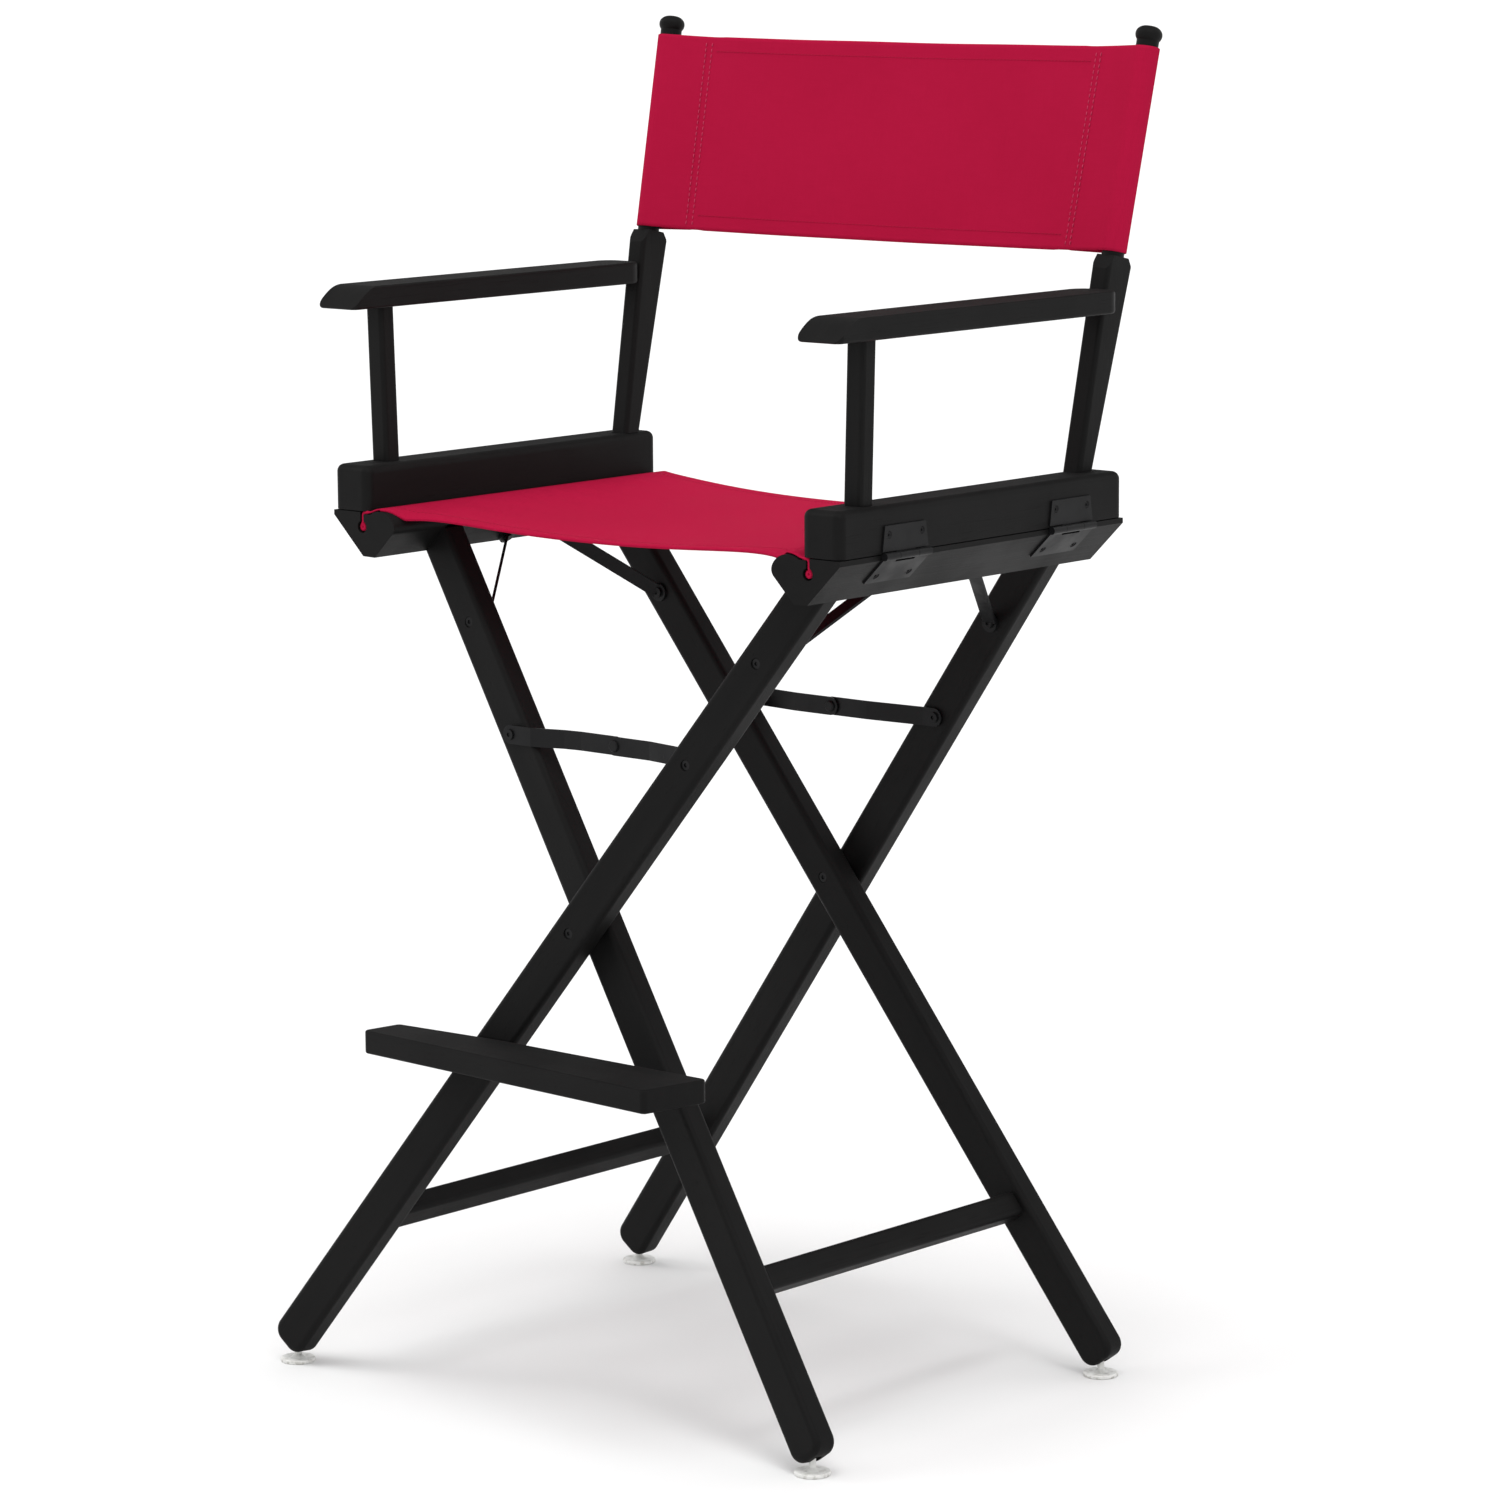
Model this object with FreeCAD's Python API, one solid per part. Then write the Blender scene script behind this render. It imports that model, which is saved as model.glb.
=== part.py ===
"""Tall folding director chair: a crossed-leg hardwood frame with a canvas seat and back.

Millimetres, +Z up, origin on the floor under the middle of the chair. The sitter looks along -Y,
so the front is -Y, and +X is on the right of a person who faces the chair from the front.

Two leg frames cross at the middle. The outer frame holds the legs whose tops are on the right, the
inner frame those whose tops are on the left. Each frame is two legs, a stretcher and a lower rail,
and each lower rail carries, on two butt hinges, an arm: upper rail, two posts and an armrest.
"""
import FreeCAD, Part
import math
import os

V = FreeCAD.Vector

# ---------------------------------------------------------------- driving sizes
RIGHT, LEFT = 1, -1

LEAN = 36.4                 # angle of each leg from upright, open, seen from the front
PIVOT_Z = 405.0             # height of the two cross pivots
LEG_WIDTH = 35.0            # across the leg, seen from the front
LEG_THICK = 23.0
LEG_EDGE = 5.0              # rounding of a leg's long edges
LEG_PITCH = 30.0            # from the mid plane of one crossed leg to the other's, at the pivot
FRONT_Y = -170.0            # mid plane of the foremost leg at the pivot
FRONT_RAKE = 0.16           # the front pair leans forward going down, in mm per mm of height
REAR_Y = 155.0              # mid plane of the fore leg of the rear pair at the pivot
REAR_RAKE = -0.06           # the rear pair leans back going down
FOOT_Z = 24.0               # height of the ball socket in the leg's end, where the glide swivels
LEG_END = 11.0              # from the socket's centre to the leg's square end
LEG_CORNER = 12.0           # rounding of the end's two corners, seen from the front
LEG_TOP_Z = 720.0           # legs end inside the lower rails

GLIDE_RADIUS = 15.0
GLIDE_THICK = 3.5
GLIDE_STEM = 3.0
GLIDE_BALL = 5.0
BALL_PLAY = 0.06
FOLD_TRAVEL = 31.4          # degrees that each leg frame turns from open to folded

RAIL_Y0, RAIL_Y1 = -165.0, 201.0
RAIL_X = 283.5              # outer face of the rails
JOINT_Z = 737.5             # underside of the upper rails
UPPER_WIDTH = 41.0
UPPER_TOP_Z = 776.0
GROOVE_X, GROOVE_Z, GROOVE_R = 250.0, 724.0, 5.2
SLOT_HALF = 1.9
HINGE_X, HINGE_Z, BARREL_R = 286.9, 735.5, 3.2
HINGE_PIN_R = 1.5
HINGE_LENGTH = 57.0
HINGE_Y = (-85.5, 129.0)    # middle of each hinge
LEAF_THICK = 1.6

POST_LEAN = 1.87            # posts lean outward a little
POST_X = 19.0
FRONT_POST_D = 17.0
FRONT_POST_AT = (264.6, -120.0)
BACK_POST_AT = (256.0, 174.0)
ARM_Z0, ARM_Z1 = 909.0, 928.0
ARM_Y0, ARM_Y1 = -174.0, 190.0
ARM_X, ARM_HALF = 268.0, 23.0
DOWEL_R = 9.5
DOWEL_FOOT = (212.5, 948.0)     # y and z where the back post turns into a dowel
DOWEL_TIP = (253.5, 1131.0)     # y and z of the dowel's upper end
TOP_Z = 1143.0

BOLT_R = 3.2
HEAD_R, HEAD_THICK, HEAD_SINK = 4.2, 1.5, 2.3   # round bolt heads, sunk in counterbores
NUT_R, NUT_THICK = 4.6, 1.3                     # low round nuts on the metalwork
BRACE_Z = 555.0
BRACE_WIDTH, BRACE_THICK = 16.0, 1.5
STRUT_Z = 643.0
STRUT_WIDTH, STRUT_THICK = 16.0, 2.5    # across the two pads
STRUT_NECK = 12.0                       # across the strip between them
STRUT_BROAD = {RIGHT: V(1.0, 0, 0),     # way the strip's width lies, for each frame's struts
               LEFT: V(0.51, 0.26, 0.82)}
STRETCHER_Z = 138.0

FOOT_TOP_Z, FOOT_THICK = 310.0, 20.0
FOOT_PIVOT_Z = FOOT_TOP_Z - FOOT_THICK / 2
PEG_R, PEG_SHIFT = 4.0, 8.0

CANVAS = 1.6
SEAT_Y0, SEAT_Y1 = -142.0, 196.0
HEM_Y0 = -163.0                 # the hems in the grooves reach further forward than the seat
SEAT_EDGE = (228.5, 740.2)      # x and z where the seat leaves the lip of the lower rail
SEAT_SAG_Z = 727.0              # middle of the seat
BACK_Z0, BACK_Z1 = 957.0, 1125.0
BACK_BOW = 6.0                  # how far the middle of the back stands behind its ends

# ---------------------------------------------------------------- derived directions
TAN = math.tan(math.radians(LEAN))
SIN = math.sin(math.radians(LEAN))
COS = math.cos(math.radians(LEAN))


class Leg:
    """Frame of reference of one leg: where it is at any height, and its three directions."""

    def __init__(self, side, y_pivot, rake):
        self.side, self.y_pivot, self.rake = side, y_pivot, rake
        self.along = V(side * TAN, rake, 1).normalize()
        self.across = V(COS, 0, -side * SIN)
        self.back = V(self.along.cross(self.across))
        if self.back.y < 0:
            self.back = self.back * -1

    def at(self, z):
        """Middle of the leg at height z."""
        h = z - PIVOT_Z
        return V(self.side * TAN * h, self.y_pivot + self.rake * h, z)

    def face_y(self, z, sign):
        """y of the front (-1) or rear (+1) face on the centre line at height z."""
        return self.at(z).y + sign * LEG_THICK / 2 / self.back.y


LEG_A = Leg(RIGHT, FRONT_Y, FRONT_RAKE)                 # foremost, outer frame
LEG_B = Leg(LEFT, FRONT_Y + LEG_PITCH, FRONT_RAKE)      # inner frame
LEG_C = Leg(LEFT, REAR_Y, REAR_RAKE)                    # inner frame
LEG_D = Leg(RIGHT, REAR_Y + LEG_PITCH, REAR_RAKE)       # rearmost, outer frame
PAIRS = {RIGHT: (LEG_A, LEG_D), LEFT: (LEG_B, LEG_C)}


# ---------------------------------------------------------------- general helpers
def box(x0, x1, y0, y1, z0, z1):
    """A box between two corners, whichever way round each pair is."""
    x0, x1 = sorted((x0, x1))
    y0, y1 = sorted((y0, y1))
    z0, z1 = sorted((z0, z1))
    return Part.makeBox(x1 - x0, y1 - y0, z1 - z0, V(x0, y0, z0))


def rod(start, end, radius):
    """A cylinder from one point to another."""
    way = end.sub(start)
    return Part.makeCylinder(radius, way.Length, start, way)


def along_y(x, z, y0, y1, radius):
    """A cylinder parallel to Y."""
    return rod(V(x, min(y0, y1), z), V(x, max(y0, y1), z), radius)


def outline_face(points):
    """A flat face from a closed list of points."""
    return Part.Face(Part.makePolygon([V(*p) for p in points] + [V(*points[0])]))


def prism(points, way):
    """A flat outline pushed along a vector."""
    return outline_face(points).extrude(way)


def placed(shape, origin, x_way, y_way, z_way):
    """A shape made about the origin, moved onto three given directions."""
    m = FreeCAD.Matrix(
        x_way.x, y_way.x, z_way.x, origin.x,
        x_way.y, y_way.y, z_way.y, origin.y,
        x_way.z, y_way.z, z_way.z, origin.z,
        0, 0, 0, 1)
    out = shape.copy()
    out.Placement = FreeCAD.Placement(m)
    return out


def edges_along(shape, way, least=0.0):
    """Straight edges parallel to a direction and at least so long."""
    found = []
    for edge in shape.Edges:
        if edge.Length < least or not isinstance(edge.Curve, Part.Line):
            continue
        if abs(edge.tangentAt(edge.FirstParameter).dot(way)) > 0.999:
            found.append(edge)
    return found


def rounded(shape, radius, way, least=0.0):
    """Round the edges parallel to a direction."""
    return shape.makeFillet(radius, edges_along(shape, way, least))


def mirrored(shape):
    """The same piece on the other side of the chair."""
    return shape.mirror(V(0, 0, 0), V(1, 0, 0))


def sided(shape, side):
    """A piece made for the right side, on the side asked for."""
    return shape if side == RIGHT else mirrored(shape)


def upright_posted(shape, x, z):
    """Lean a right-hand post outward about its foot."""
    out = shape.copy()
    out.rotate(V(x, 0, z), V(0, 1, 0), POST_LEAN)
    return out


def group(shapes):
    """Separate solids kept in one node."""
    return Part.makeCompound(shapes)


def save(name, shape):
    """Write one node, refusing anything that is not made of sound solids."""
    if not shape.Solids or not shape.isValid():
        raise RuntimeError("bad shape: " + name)
    shape.exportStep("parts/" + name + ".step")
    SAVED.append(name)


SAVED = []


# ---------------------------------------------------------------- legs, feet and stretchers
def leg_bar(leg, extra=0.0):
    """The leg's plain bar, long enough at the top to be trimmed in the rail."""
    low = (FOOT_Z - PIVOT_Z) / leg.along.z - LEG_END
    high = (LEG_TOP_Z + 30 - PIVOT_Z) / leg.along.z
    w, t = LEG_WIDTH / 2 + extra, LEG_THICK / 2 + extra
    bar = box(-w, w, -t, t, low, high)
    if not extra:
        corners = [e for e in edges_along(bar, V(0, 1, 0)) if e.CenterOfMass.z < low + 1]
        bar = bar.makeFillet(LEG_CORNER, corners)
        bar = rounded(bar, LEG_EDGE, V(0, 0, 1), 300)
    return placed(bar, leg.at(PIVOT_Z), leg.across, leg.back, leg.along)


def spot_face(leg, z, sign, radius, depth):
    """Cutter for a flat seat, square to the bolt, on the leg's slanting face."""
    centre = leg.at(z)
    y = leg.face_y(z, sign)
    return along_y(centre.x, centre.z, y - sign * depth, y + sign * 12, radius)


def head_places():
    """Which faces of the legs hold a sunk bolt head: (leg, height, face)."""
    places = [(LEG_A, PIVOT_Z, -1), (LEG_C, PIVOT_Z, -1)]
    places += [(leg, BRACE_Z, -sign) for leg, sign, stations in BRACES.values()]
    return places + [(leg, STRUT_Z, -sign) for leg, sign, rail_y in STRUTS.values()]


def foot_socket(leg):
    """Ball socket with a slot that lets the stem swing while the chair folds."""
    c = leg.at(FOOT_Z)
    ball = Part.makeSphere(GLIDE_BALL + BALL_PLAY, c)
    half = GLIDE_STEM + 0.4
    margin = math.radians(6)
    swing = math.radians(FOLD_TRAVEL)
    reach = 34.0
    angles = (leg.side * margin, -leg.side * (swing + margin))
    points = [(c.x, c.y - half, c.z)]
    for a in angles:
        points.append((c.x + math.sin(a) * reach, c.y - half, c.z - math.cos(a) * reach))
    points.append((c.x, c.y - half, c.z + half))
    slot = prism([points[0], points[1], points[2]], V(0, 2 * half, 0))
    stem = rod(c, V(c.x, c.y, 0), half)
    end = V(c.x - math.sin(leg.side * swing) * reach, c.y, c.z - math.cos(swing) * reach)
    return ball.fuse([slot, stem, rod(c, end, half)])


def leg_solid(leg):
    """One leg, trimmed in its rail, drilled for its bolts and socketed for its glide."""
    bar = leg_bar(leg)
    bar = bar.cut(box(-400, 400, -400, 400, LEG_TOP_Z, 900))
    bar = bar.cut(canvas_groove(leg.side))
    bar = bar.cut(foot_socket(leg))
    for z, play in ((PIVOT_Z, 0.0 if leg.side == RIGHT else 0.05), (BRACE_Z, 0.0), (STRUT_Z, 0.0)):
        c = leg.at(z)
        bar = bar.cut(along_y(c.x, c.z, c.y - 60, c.y + 60, BOLT_R + play))
        for sign in (-1, 1):
            sunk = (leg, z, sign) in head_places()
            bar = bar.cut(spot_face(leg, z, sign, HEAD_R + 0.4 if sunk else 7.5, HEAD_SINK if sunk else 1.0))
    return bar


def glide(leg):
    """A round nylon foot: a flat disc, a stem and the ball it swivels on."""
    c = leg.at(FOOT_Z)
    disc = rod(V(c.x, c.y, 0), V(c.x, c.y, GLIDE_THICK), GLIDE_RADIUS)
    disc = disc.makeFillet(1.2, [e for e in disc.Edges if isinstance(e.Curve, Part.Circle)])
    neck = Part.makeCone(6.5, GLIDE_STEM, 3.0, V(c.x, c.y, GLIDE_THICK - 0.2))
    stem = rod(V(c.x, c.y, GLIDE_THICK), V(c.x, c.y, FOOT_Z), GLIDE_STEM)
    return disc.fuse([neck, stem, Part.makeSphere(GLIDE_BALL, c)])


def stretcher(front, rear):
    """The low rail between two legs of one frame, with a dowel end in each leg."""
    a, b = front.at(STRETCHER_Z), rear.at(STRETCHER_Z)
    y0 = front.face_y(STRETCHER_Z, 1)
    y1 = rear.face_y(STRETCHER_Z, -1)
    bar = box(-10, 10, y0 - 8, y1 + 8, -11, 11)
    bar = rounded(bar, 4, V(0, 1, 0))
    bar.rotate(V(0, 0, 0), V(0, 1, 0), front.side * LEAN)
    bar.translate(V(a.x, 0, STRETCHER_Z))
    bar = bar.cut([leg_bar(front), leg_bar(rear)])
    return bar.fuse(stretcher_dowel(front, rear))


def stretcher_dowel(front, rear):
    """The round tenon line that runs into both legs."""
    a, b = front.at(STRETCHER_Z), rear.at(STRETCHER_Z)
    return along_y(a.x, a.z, a.y - 3, b.y + 3, 7.0)


# ---------------------------------------------------------------- lower rails
def canvas_groove(side):
    """Keyhole groove that holds the seat's hem stick, along the whole rail."""
    tube = along_y(GROOVE_X, GROOVE_Z, RAIL_Y0 - 1, RAIL_Y1 + 1, GROOVE_R)
    slot = box(GROOVE_X - SLOT_HALF, GROOVE_X + SLOT_HALF, RAIL_Y0 - 1, RAIL_Y1 + 1, GROOVE_Z, 745)
    return sided(tube.fuse(slot), side)


def lower_rail_section():
    """Section of the right lower rail: outer bevel, sloping inside and a domed lip."""
    top = JOINT_Z - 0.9
    low = JOINT_Z - 2.5
    dome = Part.BSplineCurve()
    dome.interpolate([V(240.5, RAIL_Y0, low), V(230, RAIL_Y0, 738.4), V(218, RAIL_Y0, 735.2),
                      V(211.8, RAIL_Y0, 726.5), V(215.2, RAIL_Y0, 718.6)])
    line = Part.makePolygon([
        V(215.2, RAIL_Y0, 718.6), V(225.5, RAIL_Y0, 708.3), V(235.5, RAIL_Y0, 698.6),
        V(249.2, RAIL_Y0, 698.9), V(RAIL_X, RAIL_Y0, 732.4), V(RAIL_X, RAIL_Y0, top),
        V(252.0, RAIL_Y0, top), V(252.0, RAIL_Y0, low), V(240.5, RAIL_Y0, low)])
    return Part.Face(Part.Wire(Part.sortEdges([dome.toShape()] + line.Edges)[0]))


def lower_rail(side):
    """One lower rail, grooved for the seat and housed for its two legs."""
    rail = lower_rail_section().extrude(V(0, RAIL_Y1 - RAIL_Y0, 0))
    rail = sided(rail, side).cut(canvas_groove(side))
    return rail.cut([leg_bar(leg) for leg in PAIRS[side]])


# ---------------------------------------------------------------- hinges
BEVEL_WAY = V(-34.3, 0, -33.5).normalize()
BEVEL_OUT = V(33.5, 0, -34.3).normalize()
BEVEL_TOP = V(RAIL_X, 0, 732.4)
KNUCKLE_MID = 23.0          # length of the upper leaf's knuckle


def hinge_upper_leaf(y):
    """The leaf on the upper rail, with the middle knuckle."""
    h = HINGE_LENGTH / 2
    low = JOINT_Z + 1.8
    plate = prism([(RAIL_X, y - h, low), (RAIL_X, y + h, low),
                   (RAIL_X, y + h - 3, 760), (RAIL_X, y - h + 3, 760)], V(LEAF_THICK, 0, 0))
    k = KNUCKLE_MID / 2
    tail = box(RAIL_X + 0.2, RAIL_X + LEAF_THICK, y - k, y + k, HINGE_Z, JOINT_Z + 4)
    barrel = along_y(HINGE_X, HINGE_Z, y - k, y + k, BARREL_R)
    leaf = plate.fuse([tail, barrel]).cut(along_y(HINGE_X, HINGE_Z, y - h, y + h, HINGE_PIN_R + 0.05))
    for dy in (-20.5, 20.5):
        leaf = leaf.cut(screw_hole(V(RAIL_X, y + dy, 752.5), V(1, 0, 0)))
    return leaf


def hinge_lower_leaf(y):
    """The leaf on the bevel of the lower rail, with the two outer knuckles."""
    h = HINGE_LENGTH / 2
    k = KNUCKLE_MID / 2 + 0.35
    start = BEVEL_TOP + BEVEL_WAY * 1.5
    plate = box(0, 26, -h, h, 0, LEAF_THICK)
    plate = placed(plate, V(start.x, y, start.z), BEVEL_WAY, V(0, 1, 0), BEVEL_OUT)
    pieces = []
    for y0, y1 in ((y - h, y - k), (y + k, y + h)):
        pieces.append(along_y(HINGE_X, HINGE_Z, y0, y1, BARREL_R))
        tail = box(-5.0, 3, y0 - y, y1 - y, 0.0, LEAF_THICK)
        pieces.append(placed(tail, V(start.x, y, start.z), BEVEL_WAY, V(0, 1, 0), BEVEL_OUT))
    leaf = plate.fuse(pieces).cut(along_y(HINGE_X, HINGE_Z, y - h, y + h, HINGE_PIN_R))
    leaf = leaf.cut(box(RAIL_X - 5, RAIL_X, y - h, y + h, 732.4, 745))
    for dy in (-20.5, 20.5):
        leaf = leaf.cut(screw_hole(lower_screw_at(y + dy), BEVEL_OUT))
    return leaf


def lower_screw_at(y):
    """Where a lower-leaf screw enters the bevel."""
    spot = BEVEL_TOP + BEVEL_WAY * 19.0
    return V(spot.x, y, spot.z)


def screw_hole(at, out):
    """Countersunk hole through a leaf."""
    shank = rod(at - out * 2, at + out * 4, 1.8)
    sink = Part.makeCone(1.8, 3.4, LEAF_THICK, at, out)
    return shank.fuse([sink, rod(at + out * LEAF_THICK, at + out * 5, 3.4)])


def screw(at, out, length=14.0, head=3.3, thick=LEAF_THICK):
    """A countersunk wood screw, its head a little below the face of the metal it holds."""
    cone = Part.makeCone(1.7, head - 0.8, thick - 0.8, at, out)
    shank = rod(at - out * length, at, 1.7)
    return cone.fuse(shank).cut(rod(at + out * (thick - 1.5), at + out * thick, 1.2))


def hinge_pin(y):
    """The pin through all three knuckles of one hinge."""
    h = HINGE_LENGTH / 2
    return along_y(HINGE_X, HINGE_Z, y - h, y + h, HINGE_PIN_R)


def screw_bores(spots):
    """Pilot holes for a list of (place, outward direction) screws."""
    return [rod(at - out * 14.0, at + out, 1.7) for at, out in spots]


UPPER_SCREWS = [(V(RAIL_X, y + dy, 752.5), V(1, 0, 0)) for y in HINGE_Y for dy in (-20.5, 20.5)]
LOWER_SCREWS = [(lower_screw_at(y + dy), BEVEL_OUT) for y in HINGE_Y for dy in (-20.5, 20.5)]


# ---------------------------------------------------------------- arms
def post_dowel(x, y, z, half=10.0):
    """The round tenon that joins a post to a rail or an armrest."""
    return rod(V(x, y, z - half), V(x, y, z + half), 5.5)


def front_post():
    """Right front arm post."""
    x, y = FRONT_POST_AT
    post = box(x - POST_X / 2, x + POST_X / 2, y - FRONT_POST_D / 2, y + FRONT_POST_D / 2,
               UPPER_TOP_Z - 5, ARM_Z0 + 5)
    post = upright_posted(rounded(post, 4.0, V(0, 0, 1)), x, UPPER_TOP_Z)
    post = post.cut(box(x - 40, x + 40, y - 40, y + 40, UPPER_TOP_Z - 20, UPPER_TOP_Z))
    post = post.cut(box(x - 40, x + 40, y - 40, y + 40, ARM_Z0, ARM_Z0 + 30))
    return post.fuse([post_dowel(x, y, UPPER_TOP_Z), post_dowel(front_post_top_x(), y, ARM_Z0, 9.0)])


def front_post_top_x():
    """x of the front post where it meets the armrest."""
    return FRONT_POST_AT[0] + math.tan(math.radians(POST_LEAN)) * (ARM_Z0 - UPPER_TOP_Z)


def dowel_axis():
    """Foot and tip of the right canvas dowel before the post's outward lean."""
    x = BACK_POST_AT[0]
    return V(x, *DOWEL_FOOT), V(x, *DOWEL_TIP)


def back_post():
    """Right back post: it leans back, widens to a shoulder and ends in a turned dowel."""
    x, y = BACK_POST_AT
    side = [(x - POST_X / 2, y - 10.5, UPPER_TOP_Z - 5), (x - POST_X / 2, y + 8.5, UPPER_TOP_Z - 5),
            (x - POST_X / 2, 229.0, 941.0), (x - POST_X / 2, 223.5, 951.5),
            (x - POST_X / 2, 205.0, 955.5), (x - POST_X / 2, 196.5, 945.0)]
    post = prism(side, V(POST_X, 0, 0))
    long_edges = [e for e in post.Edges if e.Length > 120]
    post = post.makeFillet(4.0, long_edges)
    foot, tip = dowel_axis()
    post = post.fuse(rod(foot, tip, DOWEL_R))
    post = post.cut(finial_spigot(0.0))
    post = upright_posted(post, x, UPPER_TOP_Z)
    post = post.cut(box(x - 40, x + 40, y - 60, y + 60, UPPER_TOP_Z - 20, UPPER_TOP_Z))
    return post.fuse(post_dowel(x, y, UPPER_TOP_Z))


def finial_spigot(play):
    """The finial's peg in the end of the dowel."""
    foot, tip = dowel_axis()
    way = tip.sub(foot).normalize()
    return rod(tip - way * 12, tip + way * 0.5, 4.0 + play)


def finial():
    """Turned knob that stops the canvas from sliding off its dowel."""
    foot, tip = dowel_axis()
    way = tip.sub(foot).normalize()
    height = (TOP_Z - DOWEL_TIP[1]) / way.z - 0.9
    base = [V(0, 0, 0), V(DOWEL_R, 0, 0)]
    swell = Part.BSplineCurve()
    swell.interpolate([V(DOWEL_R, 0, 0), V(11.2, 0, 3.2), V(11.0, 0, 7.2), V(7.6, 0, 11.0), V(0, 0, height)])
    wire = Part.Wire(Part.sortEdges([Part.makeLine(base[0], base[1]), swell.toShape(),
                                     Part.makeLine(V(0, 0, height), V(0, 0, 0))])[0])
    knob = Part.Face(wire).revolve(V(0, 0, 0), V(0, 0, 1), 360)
    across = V(1, 0, 0)
    knob = placed(knob, tip, across, way.cross(across), way)
    knob = knob.fuse(finial_spigot(0.0))
    return upright_posted(knob, BACK_POST_AT[0], UPPER_TOP_Z)


def armrest():
    """Right armrest: a flat board with a bevelled nose and rounded rear corners."""
    x0, x1 = ARM_X - ARM_HALF, ARM_X + ARM_HALF
    board = box(x0, x1, ARM_Y0, ARM_Y1, ARM_Z0, ARM_Z1)
    corners = edges_along(board, V(0, 0, 1))
    board = board.makeFillet(16.0, [e for e in corners if e.CenterOfMass.y > 0])
    corners = edges_along(board, V(0, 0, 1))
    board = board.makeFillet(7.0, [e for e in corners if e.CenterOfMass.y < 0])
    nose = Part.BSplineCurve()
    nose.interpolate([V(x0 - 1, ARM_Y0 - 1, ARM_Z0), V(x0 - 1, ARM_Y0 + 3.5, ARM_Z0 + 4.5),
                      V(x0 - 1, ARM_Y0 + 13.5, ARM_Z0 + 13), V(x0 - 1, ARM_Y0 + 28, ARM_Z1)])
    line = Part.makePolygon([V(x0 - 1, ARM_Y0 + 28, ARM_Z1), V(x0 - 1, ARM_Y1 + 1, ARM_Z1),
                             V(x0 - 1, ARM_Y1 + 1, ARM_Z0), V(x0 - 1, ARM_Y0 - 1, ARM_Z0)])
    side = Part.Face(Part.Wire(Part.sortEdges([nose.toShape()] + line.Edges)[0]))
    board = board.common(side.extrude(V(2 * ARM_HALF + 2, 0, 0)))
    board = board.makeFillet(2.5, edges_along(board, V(0, 1, 0), 200))
    board = board.cut(back_post_right())
    return board.cut(post_dowel(front_post_top_x(), FRONT_POST_AT[1], ARM_Z0, 9.0))


def back_post_right():
    """The right back post in place, made once."""
    if "back" not in MADE:
        MADE["back"] = back_post()
    return MADE["back"]


MADE = {}


def upper_rail():
    """Right upper rail, rounded at its ends, bored for both posts and the hinge screws."""
    x0 = RAIL_X - UPPER_WIDTH
    rail = box(x0, RAIL_X, RAIL_Y0, RAIL_Y1, JOINT_Z, UPPER_TOP_Z)
    rail = rail.makeFillet(8.0, edges_along(rail, V(0, 0, 1)))
    top = [e for e in rail.Edges if abs(e.CenterOfMass.z - UPPER_TOP_Z) < 0.01]
    rail = rail.makeFillet(6.5, top)
    x, y = FRONT_POST_AT
    rail = rail.cut(post_dowel(x, y, UPPER_TOP_Z))
    x, y = BACK_POST_AT
    rail = rail.cut(post_dowel(x, y, UPPER_TOP_Z))
    return rail.cut(screw_bores(UPPER_SCREWS))


# ---------------------------------------------------------------- bolts, braces and struts
def bolt(leg, z, y0, y1, head_y, nut_y):
    """A socket-headed bolt parallel to Y with its head in front and a round nut behind."""
    c = leg.at(z)
    shank = along_y(c.x, c.z, y0, y1, BOLT_R)
    head = along_y(c.x, c.z, head_y, head_y - HEAD_THICK, HEAD_R)
    nut = along_y(c.x, c.z, nut_y, nut_y + 3.0, 5.5)
    return shank.fuse([head, nut]).cut(drive_hole(c.x, c.z, head_y - HEAD_THICK, -1))


def drive_hole(x, z, y, sign):
    """Hexagon socket in the outer face of a bolt's head or nut, which faces -Y or +Y."""
    points = []
    for n in range(6):
        turn = math.radians(60 * n)
        points.append((x + 2.0 * math.cos(turn), y + sign, z + 2.0 * math.sin(turn)))
    return prism(points, V(0, -sign * 2.1, 0))


def pivot_bolt(front, rear):
    """Bolt through two crossed legs. Its nut stands clear of the leg that turns on it."""
    outer = front if front.side == RIGHT else rear
    head_y = front.face_y(PIVOT_Z, -1) + HEAD_SINK - (0.0 if outer is front else 0.35)
    nut_y = rear.face_y(PIVOT_Z, 1) - 1.0 + (0.35 if outer is front else 0.0)
    return bolt(front, PIVOT_Z, head_y - 1, nut_y + 3, head_y, nut_y)


def pivot_spacer(front, rear):
    """Washer stack that holds two crossed legs apart."""
    y0 = front.face_y(PIVOT_Z, 1) - 1.0
    y1 = rear.face_y(PIVOT_Z, -1) + 1.0
    if front.side == RIGHT:
        y1 -= 0.35
    else:
        y0 += 0.35
    return along_y(0, PIVOT_Z, y0, y1, 7.0).cut(along_y(0, PIVOT_Z, y0 - 1, y1 + 1, BOLT_R))


LINK_REACH = LEG_A.at(BRACE_Z).x        # from a brace bolt to the middle of the chair


def link_profile(leg, sign, wanted):
    """Stations (distance from the bolt, y) of a brace link's middle line.

    The link lies on one face of its leg (sign) and is cranked, so that it clears the slanting
    face of the leg all the way to the folded position, where it stands along the leg.
    """
    face = leg.face_y(BRACE_Z, sign)
    return [(s, face + dy) for s, dy in wanted]


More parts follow.
